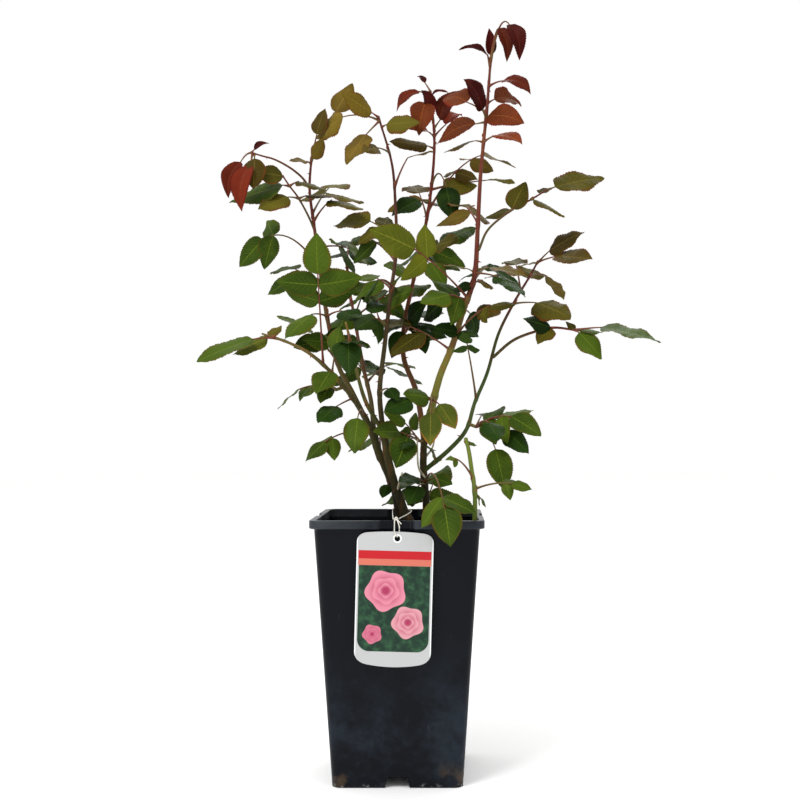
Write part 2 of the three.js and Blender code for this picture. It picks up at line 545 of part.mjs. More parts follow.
function squareOutline(width, radius) {
  const half = width / 2;
  const inner = half - radius;
  const shape = new THREE.Shape();
  shape.absarc(inner, inner, radius, 0, Math.PI / 2, false);
  shape.absarc(-inner, inner, radius, Math.PI / 2, Math.PI, false);
  shape.absarc(-inner, -inner, radius, Math.PI, 1.5 * Math.PI, false);
  shape.absarc(inner, -inner, radius, 1.5 * Math.PI, 2 * Math.PI, false);
  return shape;
}

// Upright block between two heights, a rounded square in plan, that widens evenly as it rises
function taperedBlock(bottomWidth, topWidth, from, to, radius) {
  const depth = to - from;
  const options = { depth, bevelEnabled: false, curveSegments: ARC_STEPS };
  const block = new THREE.ExtrudeGeometry(squareOutline(topWidth, radius), options);
  return solid(reshape(block, (p) => {
    const scale = lerp(bottomWidth / topWidth, 1, p.z / depth);
    return new THREE.Vector3(p.x * scale, p.y * scale, p.z + from);
  }));
}

const SLOPE = (WIDTH_UNDER_LIP - FOOT_WIDTH) / (POT_HEIGHT - LIP_HEIGHT);
const outerWidth = (z) => FOOT_WIDTH + SLOPE * z;

// Block that stands a given way inside the pot's outer face
function insideBlock(inset, from, to) {
  const radius = CORNER_RADIUS - inset / 2;
  return taperedBlock(outerWidth(from) - 2 * inset, outerWidth(to) - 2 * inset, from, to, radius);
}

function footNotch() {
  const { height, width, narrowing } = FOOT_NOTCH;
  const shape = new THREE.Shape();
  shape.moveTo(-width / 2, -1);
  shape.lineTo(width / 2, -1);
  shape.lineTo(width / 2 - narrowing, height);
  shape.lineTo(-width / 2 + narrowing, height);
  const notch = new THREE.ExtrudeGeometry(shape, { depth: RIM_WIDTH, bevelEnabled: false });
  return notch.rotateX(Math.PI / 2).translate(0, RIM_WIDTH / 2, 0);
}

function makePot() {
  const lipStart = POT_HEIGHT - LIP_HEIGHT;
  const floorTop = FLOOR.underside + FLOOR.thickness;
  let pot = taperedBlock(FOOT_WIDTH, WIDTH_UNDER_LIP, 0, lipStart, CORNER_RADIUS)
    .add(taperedBlock(RIM_WIDTH, RIM_WIDTH, lipStart, POT_HEIGHT, LIP_RADIUS))
    .subtract(insideBlock(WALL, floorTop, POT_HEIGHT + 1))
    .subtract(insideBlock(FOOT_WALL, -1, FLOOR.underside));
  const dip = new THREE.BoxGeometry(LIP_DIP.width, 2 * LIP_DIP.depth, 2 * LIP_HEIGHT);
  dip.translate(0, -RIM_WIDTH / 2, POT_HEIGHT);
  const cuts = [footNotch(), footNotch().rotateZ(Math.PI / 2)];
  for (let side = 0; side < 4; side++) cuts.push(dip.clone().rotateZ((side * Math.PI) / 2));
  for (const [x, y] of [[0, 0], [1, 1], [1, -1], [-1, 1], [-1, -1]]) {
    const hole = new THREE.CylinderGeometry(DRAIN.radius, DRAIN.radius, 4 * FLOOR.thickness, 8);
    cuts.push(hole.rotateX(Math.PI / 2).translate(x * DRAIN.offset, y * DRAIN.offset, floorTop));
  }
  for (const cut of cuts) pot = pot.subtract(solid(cut));
  return pot;
}

function makeMix() {
  const clear = WALL + LEAF_ROOM;
  return insideBlock(clear, SOIL_BOTTOM + LEAF_ROOM, SOIL_TOP);
}

// Care card: straight sides, shoulders and a long convex foot, hung by one hole
function makeCard() {
  const half = CARD.width / 2;
  const foot = -CARD.height / 2;
  const head = CARD.height / 2;
  const shape = new THREE.Shape();
  const upper = CARD_SHOULDER;
  const lower = CARD_FOOT;
  shape.moveTo(-half, foot + lower.up);
  shape.lineTo(-half, head - upper.down);
  shape.quadraticCurveTo(-half, head - upper.pull, upper.across - half, head - upper.fall);
  shape.quadraticCurveTo(0, head + upper.crown, half - upper.across, head - upper.fall);
  shape.quadraticCurveTo(half, head - upper.pull, half, head - upper.down);
  shape.lineTo(half, foot + lower.up);
  shape.quadraticCurveTo(half, foot + lower.pull, half - lower.across, foot + lower.fall);
  shape.quadraticCurveTo(0, foot - lower.crown, lower.across - half, foot + lower.fall);
  shape.quadraticCurveTo(-half, foot + lower.pull, -half, foot + lower.up);
  const hole = new THREE.Path();
  hole.absarc(CARD_HOLE.across, head - CARD_HOLE.below, CARD_HOLE.radius, 0, 2 * Math.PI, false);
  shape.holes.push(hole);
  const sheet = { depth: CARD.thickness, bevelEnabled: false, curveSegments: 5 };
  const card = new THREE.ExtrudeGeometry(shape, sheet);
  card.translate(-CARD_HOLE.across, CARD_HOLE.below - head, 0).rotateZ(-radians(CARD_TURN));
  card.rotateX(Math.PI / 2);
  return solid(card.translate(HOLE_AT.x, CARD.front + CARD.thickness, HOLE_AT.z));
}

// White tie: from behind the old stems, over the front of the rim, down to the card's hole and back
function makeTie() {
  const behind = CARD.front + CARD.thickness + 0.9;
  const before = CARD.front - 0.9;
  const { x, z } = HOLE_AT;
  const loop = [
    [-1.5, 12, 267.5], [-6.2, 10, 267.3], [-7.5, 5, 267], [-6.4, -25, 264.6], [-4.6, -55, 263],
    [-3.4, -74, 262.9], [KNOT.x - 1.2, -80.5, 263.6], [-1.9, -83, 262.4], [-2, -83.1, 256],
    [-1.8, before, 251.4], [x - 1, before, z + 3.2], [x - 0.2, before + 0.4, z + 2.1],
    [x, CARD.front + 0.25, z + 1.7], [x + 0.3, behind - 0.3, z + 2.1], [x + 0.9, behind, z + 3.4],
    [2.5, behind, 250.8], [2.8, -83.2, 254.2], [2.6, -83.3, 257], [KNOT.x + 1.2, -82.9, 262.6],
    [KNOT.x + 1.1, -80.5, 263.6], [1.7, -74, 262.9], [3.4, -55, 263], [8.6, -30, 264.2],
    [12.1, -8, 266], [9.6, 0, 266.4], [4.4, 8.4, 267], [2.2, 11.4, 267.3],
  ];
  const course = new THREE.CatmullRomCurve3(loop.map((p) => new THREE.Vector3(...p)), false, "centripetal");
  const strand = solid(stem(course, evenly(0, 1, 2 * loop.length), () => TIE_RADIUS, 3));
  const knot = new THREE.SphereGeometry(KNOT.radius, 7, 5).translate(KNOT.x, KNOT.y, KNOT.z);
  const tail = new THREE.LineCurve3(
    new THREE.Vector3(KNOT.x, KNOT.y, KNOT.z),
    new THREE.Vector3(KNOT.x + 5, KNOT.y - 2, KNOT.z - 5),
  );
  return strand.add(solid(knot)).add(solid(stem(tail, [0, 1], () => TIE_RADIUS, 3)));
}

const COLOURS = {
  pot: { color: "#15191e", roughness: 0.36, metalness: 0 },
  mix: { color: "#2a1c12", roughness: 0.95, metalness: 0 },
  card: { color: "#d5dbe0", roughness: 0.4, metalness: 0 },
  tie: { color: "#e9e6dc", roughness: 0.6, metalness: 0 },
  bark: { color: "#5d5733", roughness: 0.75, metalness: 0 },
  green: { color: "#5f7a35", roughness: 0.55, metalness: 0 },
  maroon: { color: "#6a3a33", roughness: 0.5, metalness: 0 },
  leaf: { color: "#2f5a26", roughness: 0.42, metalness: 0 },
  young: { color: "#5c6131", roughness: 0.4, metalness: 0 },
  bronze: { color: "#6a4a34", roughness: 0.4, metalness: 0 },
};
const BARK = new Set(["main_stem", "twin_stem", "second_stem", "left_arch"]);
const MAROON = new Set(["red_top", "left_tall", "right_arch", "inner_mid", "left_twig",
  "left_side_twig", "right_side_twig"]);
const BRONZE = new Set(["red_top", "left_twig"]);
const YOUNG = new Set(["left_tall", "right_arch", "tall_right", "right_slender", "inner_mid",
  "left_side_twig", "right_side_twig"]);

const group = new THREE.Group();

function addPart(name, body, look) {
  const { vertProperties, triVerts } = body.getMesh();
  const geometry = new THREE.BufferGeometry();
  geometry.setAttribute("position", new THREE.BufferAttribute(Float32Array.from(vertProperties), 3));
  geometry.setIndex(new THREE.BufferAttribute(Uint32Array.from(triVerts), 1));
  geometry.computeVertexNormals();
  const part = new THREE.Mesh(geometry, new THREE.MeshStandardMaterial(COLOURS[look]));
  part.name = name;
  group.add(part);
}

function caneLook(name) {
  if (BARK.has(name)) return "bark";
  return MAROON.has(name) ? "maroon" : "green";
}

function leafLook(name, isEnd) {
  if (isEnd && BRONZE.has(name)) return "bronze";
  return isEnd && YOUNG.has(name) ? "young" : "leaf";
}

const fixtures = [["pot", makePot()], ["potting_mix", makeMix()], ["card", makeCard()], ["tie", makeTie()]];
const fixtureLooks = { pot: "pot", potting_mix: "mix", card: "card", tie: "tie" };
for (const [name, body] of fixtures) {
  claim(name, body);
  addPart(name, body, fixtureLooks[name]);
}
claim("ground", insideBlock(WALL + GAP, SOIL_BOTTOM, SOIL_TOP + GAP));

for (const plan of CANES) addPart(plan.name, growCane(plan), caneLook(plan.name));

function addMass(name, body, look) {
  claim(name, body);
  addPart(name, body, look);
}

let seed = 1;
for (const plan of CANES) {
  let sprays = 0;
  const heights = heightsOn(plan);
  if (heights.some((at) => at > plan.bare)) {
    addMass(`${plan.name}_leaves`, growLeafyEnd(plan, seed++), leafLook(plan.name, true));
  }
  for (const at of heights.filter((height) => height <= plan.bare)) {
    sprays += 1;
    addMass(`${plan.name}_spray_${sprays}`, growSpray(plan, at, seed++), leafLook(plan.name, false));
  }
}

// The part's box is centred over the origin, with the pot's foot on the ground
const bounds = new THREE.Box3().setFromObject(group);
const middle = bounds.getCenter(new THREE.Vector3());
for (const part of group.children) part.geometry.translate(-middle.x, -middle.y, 0);

export default group;
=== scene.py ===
"""A rose bush in its deep square nursery pot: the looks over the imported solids.

The canes, leaf stalks and leaflets grow by the rule that the part's source uses, from the same rows
and the same seeds, so that every leaf stands where its solid does. Lengths in the plan are
millimetres measured from the middle of the pot's underside; meshes are metres in the shared frame.
"""

import logging
import math
from collections.abc import Iterable
from dataclasses import dataclass, field
from enum import Enum

import bpy
import numpy as np
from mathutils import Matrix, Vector

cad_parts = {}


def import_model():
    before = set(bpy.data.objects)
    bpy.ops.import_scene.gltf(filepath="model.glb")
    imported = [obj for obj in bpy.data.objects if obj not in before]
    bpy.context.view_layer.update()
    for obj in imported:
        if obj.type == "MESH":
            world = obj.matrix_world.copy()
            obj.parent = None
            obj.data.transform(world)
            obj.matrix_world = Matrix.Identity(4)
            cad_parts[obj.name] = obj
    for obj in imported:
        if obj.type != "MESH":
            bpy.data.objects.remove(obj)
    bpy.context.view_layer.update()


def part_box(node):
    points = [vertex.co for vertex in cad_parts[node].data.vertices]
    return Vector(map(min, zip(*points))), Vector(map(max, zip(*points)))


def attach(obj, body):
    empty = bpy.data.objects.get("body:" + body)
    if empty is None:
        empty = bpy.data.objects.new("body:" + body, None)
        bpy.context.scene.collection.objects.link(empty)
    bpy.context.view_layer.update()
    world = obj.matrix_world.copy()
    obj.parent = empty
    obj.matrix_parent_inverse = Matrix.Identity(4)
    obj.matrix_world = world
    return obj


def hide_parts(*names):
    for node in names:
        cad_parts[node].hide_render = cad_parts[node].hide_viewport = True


log = logging.getLogger("rose_bush")
Array = np.ndarray
UP = np.array([0.0, 0.0, 1.0])
MM = 0.001


# Growing rule, as in the part's source


class Stream:
    """A stream of repeatable random numbers from 0 to 1, the same as the source's."""

    MASK = 0xFFFFFFFF
    SPREAD = 0x9E3779B1
    STEP = 0x6D2B79F5

    def __init__(self, seed: int) -> None:
        """Starts the stream.

        Args:
            seed: The whole number that picks the stream.
        """
        self.state = ((seed + 1) * self.SPREAD) & self.MASK

    def __call__(self) -> float:
        """Returns the next number."""
        self.state = (self.state + self.STEP) & self.MASK
        mixed = ((self.state ^ (self.state >> 15)) * (self.state | 1)) & self.MASK
        mixed ^= (mixed + ((mixed ^ (mixed >> 7)) * (mixed | 61))) & self.MASK
        return ((mixed ^ (mixed >> 14)) & self.MASK) / (self.MASK + 1)


def unit(vector: Array) -> Array:
    """Returns a vector, or each row of an array of them, at length one."""
    return vector / np.maximum(np.linalg.norm(vector, axis=-1, keepdims=True), 1e-12)


def square_to(vector: Array, along: Array) -> Array:
    """Returns the part of vector that is square to along, at length one."""
    return unit(vector - along * (vector * along).sum(-1, keepdims=True))


def turned(vector: Array, axis: Array, degrees: float) -> Array:
    """Turns a vector about an axis of length one, by Rodrigues' formula.

    Args:
        vector: What is turned.
        axis: The axis.
        degrees: How far.

    Returns:
        The turned vector.
    """
    angle = math.radians(degrees)
    around = np.cross(axis, vector) * math.sin(angle)
    return vector * math.cos(angle) + around + axis * (axis @ vector) * (1 - math.cos(angle))


class Course:
    """A smooth line through points: a Catmull-Rom curve of tension a half, evenly spread in t."""

    def __init__(self, points: Iterable[Iterable[float]]) -> None:
        """Keeps the points, with one more made up beyond each end."""
        inner = np.array(list(points), float)
        first, last = 2 * inner[0] - inner[1], 2 * inner[-1] - inner[-2]
        self.points = np.vstack([first, inner, last])
        self.spans = len(inner) - 1

    def at(self, t: float | Array) -> Array:
        """Works out places on the line: in each span, a cubic in the share w of the span.

        Args:
            t: How far along, from 0 at the foot to 1 at the tip: a number, or an array.

        Returns:
            The place, or one row for each t.
        """
        s = np.clip(np.atleast_1d(np.asarray(t, float)), 0, 1) * self.spans
        k = np.minimum(s.astype(int), self.spans - 1)
        w = (s - k)[:, None]
        a, b, c, d = (self.points[k + i] for i in range(4))
        into, out = (c - a) / 2, (d - b) / 2
        square, cube = 3 * (c - b) - 2 * into - out, 2 * (b - c) + into + out
        place = b + w * into + w**2 * square + w**3 * cube
        return place if np.ndim(t) else place[0]

    def heading(self, t: float | Array) -> Array:
        """Returns the direction at t, of length one."""
        low = np.clip(np.asarray(t, float) - 1e-4, 0, 1)
        high = np.clip(np.asarray(t, float) + 1e-4, 0, 1)
        return unit(self.at(high) - self.at(low))

    def length(self) -> float:
        """Returns how long the line is."""
        return float(np.linalg.norm(np.diff(self.at(np.linspace(0, 1, 200)), axis=0), axis=1).sum())


@dataclass(frozen=True)
class Bend:
    """A leaf's rib: a quadratic curve from its cane, over its bow, to its tip."""

    base: Array
    middle: Array
    tip: Array

    def at(self, t: float | Array) -> Array:
        """Returns the place at t, from 0 to 1, or one row for each t."""
        w = np.asarray(t, float)[..., None]
        return (1 - w) ** 2 * self.base + 2 * w * (1 - w) * self.middle + w**2 * self.tip

    def heading(self, t: float) -> Array:
        """Returns the direction at t, of length one."""
        return unit((1 - t) * (self.middle - self.base) + t * (self.tip - self.middle))

    def back_from_tip(self, distance: float) -> float:
        """Returns the last t whose place is that far or further from the tip."""
        for k in range(SPINE_STEPS - 1, 0, -1):
            if np.linalg.norm(self.at(k / SPINE_STEPS) - self.tip) >= distance:
                return k / SPINE_STEPS
        return 0.0


# The rule's numbers: millimetres and degrees, or shares of a leaflet's length
SOIL_TOP = 235.0
FLARE_SWELL, FLARE_HEIGHT = 0.45, 9.0
SPUR_LENGTH, SPUR_RADIUS = 7.0, 1.7
SPINE_STEPS = 64
NEAREST_PAIR = 0.16
PAIR_SIZES = (0.88, 0.76, 0.62)
FIRST_PAIR, PAIR_SPACING, PAIR_ANGLE, PAIR_SAG = 1.3, 0.46, 63.0, 0.35
VARY_ANGLE, VARY_DROOP, VARY_ROLL, VARY_LENGTH = 14.0, 0.25, 36.0, 0.16
REAR_APART, REAR_TURN, REAR_BOW, REAR_PAIRS = 52.0, 24.0, 0.18, 1
REAR_FROM = {"rise": 8, "leaflet": 42, "reach": 1.8, "face": 4}
REAR_RANGE = {"rise": 34, "leaflet": 9, "reach": 0.5, "face": 30}


class Tint(Enum):
    """The ages of the leaves, from the oldest to the youngest, and those that are hurt."""

    DEEP = "deep"
    GREEN = "green"
    FRESH = "fresh"
    OLIVE = "olive"
    GOLD = "gold"
    BROWN = "brown"
    YOUNG = "young"
    BRICK = "brick"
    BRONZE = "bronze"
    HURT = "hurt"


@dataclass(frozen=True)
class Cane:
    """A cane: its radius at foot and tip, the share that stays bare below its leaves, its course."""

    name: str
    foot: float
    tip: float
    bare: float
    course: Course

    def radius(self, t: float | Array) -> Array:
        """Returns the radius at t: an even taper, times a flare that dies away above the mix."""
        above = np.maximum(0, self.course.at(t)[..., 2] - SOIL_TOP)
        taper = self.foot + (self.tip - self.foot) * np.asarray(t, float)
        return taper * (1 + FLARE_SWELL * np.exp(-above / FLARE_HEIGHT))


@dataclass(frozen=True)
class LeafRow:
    """A leaf as planned: where it ends, its leaflets, its face's tilt, its rib's bow and its age."""

    cane: str
    at: float
    tip: Array
    pairs: int
    leaflet: float
    face: float
    bow: float
    tint: Tint
    share: float = 1.0


@dataclass(frozen=True)
class RearSpray:
    """Leaves that the front hides: their cane and height, their bearing and how many there are."""

    cane: str
    at: float
    bearing: float
    leaves: int


# Canes: the radius at foot and tip, the share that is bare, and points along the course
CANES = [Cane(name, foot, tip, bare, Course(points)) for name, foot, tip, bare, points in (
    ("main_stem", 4.6, 3.9, 1.0, [[2, 5, 234], [-1, 6, 261], [-5, 5, 285], [-15, 3, 310],
        [-23, 1, 328], [-29, 0, 352]]),
    ("twin_stem", 4.8, 3.8, 1.0, [[22, -6, 235], [8, -7, 259], [-1, -7, 281], [-8, -8, 304],
        [-13, -9, 326], [-17, -9, 351]]),
    ("second_stem", 4.0, 3.2, 1.0, [[26, 16, 233], [28, 15, 255], [24, 12, 310], [25, 8, 337],
        [31, 4, 369]]),
    ("left_arch", 3.1, 0.9, 0.72, [[-29, -1, 350], [-47, -6, 380], [-67, -14, 405],
        [-90, -24, 426], [-114, -34, 438], [-136, -40, 445]]),
    ("left_tall", 2.9, 1.2, 0.36, [[-30, 3, 349], [-51, 16, 389], [-66, 22, 418],
        [-78, 30, 468], [-87, 38, 523], [-93, 42, 566], [-98, 44, 604], [-96, 42, 637]]),
    ("left_twig", 1.3, 0.8, 0.62, [[-98, 45, 606], [-105, 38, 616], [-117, 30, 625],
        [-132, 22, 632], [-144, 14, 634], [-154, 8, 636]]),
    ("left_side_twig", 1.2, 0.8, 0.3, [[-92, 43, 559], [-98, 39, 574], [-108, 32, 593],
        [-117, 26, 605], [-123, 20, 614]]),
    ("inner_left", 2.4, 1.1, 0.62, [[-18, -10, 349], [-33, -22, 376], [-40, -38, 401],
        [-45, -50, 428], [-51, -58, 455]]),
    ("inner_mid", 2.6, 1.1, 0.5, [[-27, 2, 349], [-31, 16, 380], [-40, 36, 414],
        [-49, 58, 456], [-58, 76, 501], [-63, 84, 537]]),
    ("centre", 2.8, 1.0, 0.42, [[-17, -10, 348], [-20, -14, 388], [-15, -14, 435],
        [-10, -8, 482], [-4, 0, 534], [-5, 6, 583], [-9, 8, 626], [-22, 2, 671]]),
    ("red_top", 3.1, 1.1, 0.46, [[25, 9, 335], [17, 22, 386], [3, 28, 424], [3, 32, 458],
        [11, 36, 499], [23, 40, 553], [31, 40, 600], [35, 36, 653], [31, 30, 705]]),
    ("tall_right", 3.9, 1.2, 0.38, [[31, 3, 365], [41, -8, 403], [54, -18, 435],
        [65, -27, 470], [76, -34, 503], [79, -40, 548], [82, -42, 605], [88, -42, 667],
        [92, -42, 719]]),
    ("right_side_twig", 1.3, 0.8, 0.3, [[80, -40, 528], [90, -35, 550], [113, -27, 570],
        [134, -17, 583], [150, -9, 594]]),
    ("right_slender", 2.5, 1.0, 0.72, [[24, 12, 306], [50, 2, 328], [68, -4, 349],
        [77, -2, 377], [90, 6, 408], [102, 14, 449], [119, 20, 483], [134, 22, 508], [144, 22, 526]]),
    ("right_arch", 1.7, 1.1, 0.5, [[96, 8, 424], [115, -4, 440], [135, -16, 448],
        [156, -26, 452], [177, -34, 449]]),
    ("water_shoot", 2.4, 1.9, 0.34, [[76, -48, 235], [76, -48, 260], [76, -47, 288],
        [73, -44, 309], [70, -40, 329], [67, -38, 341]]),
)]

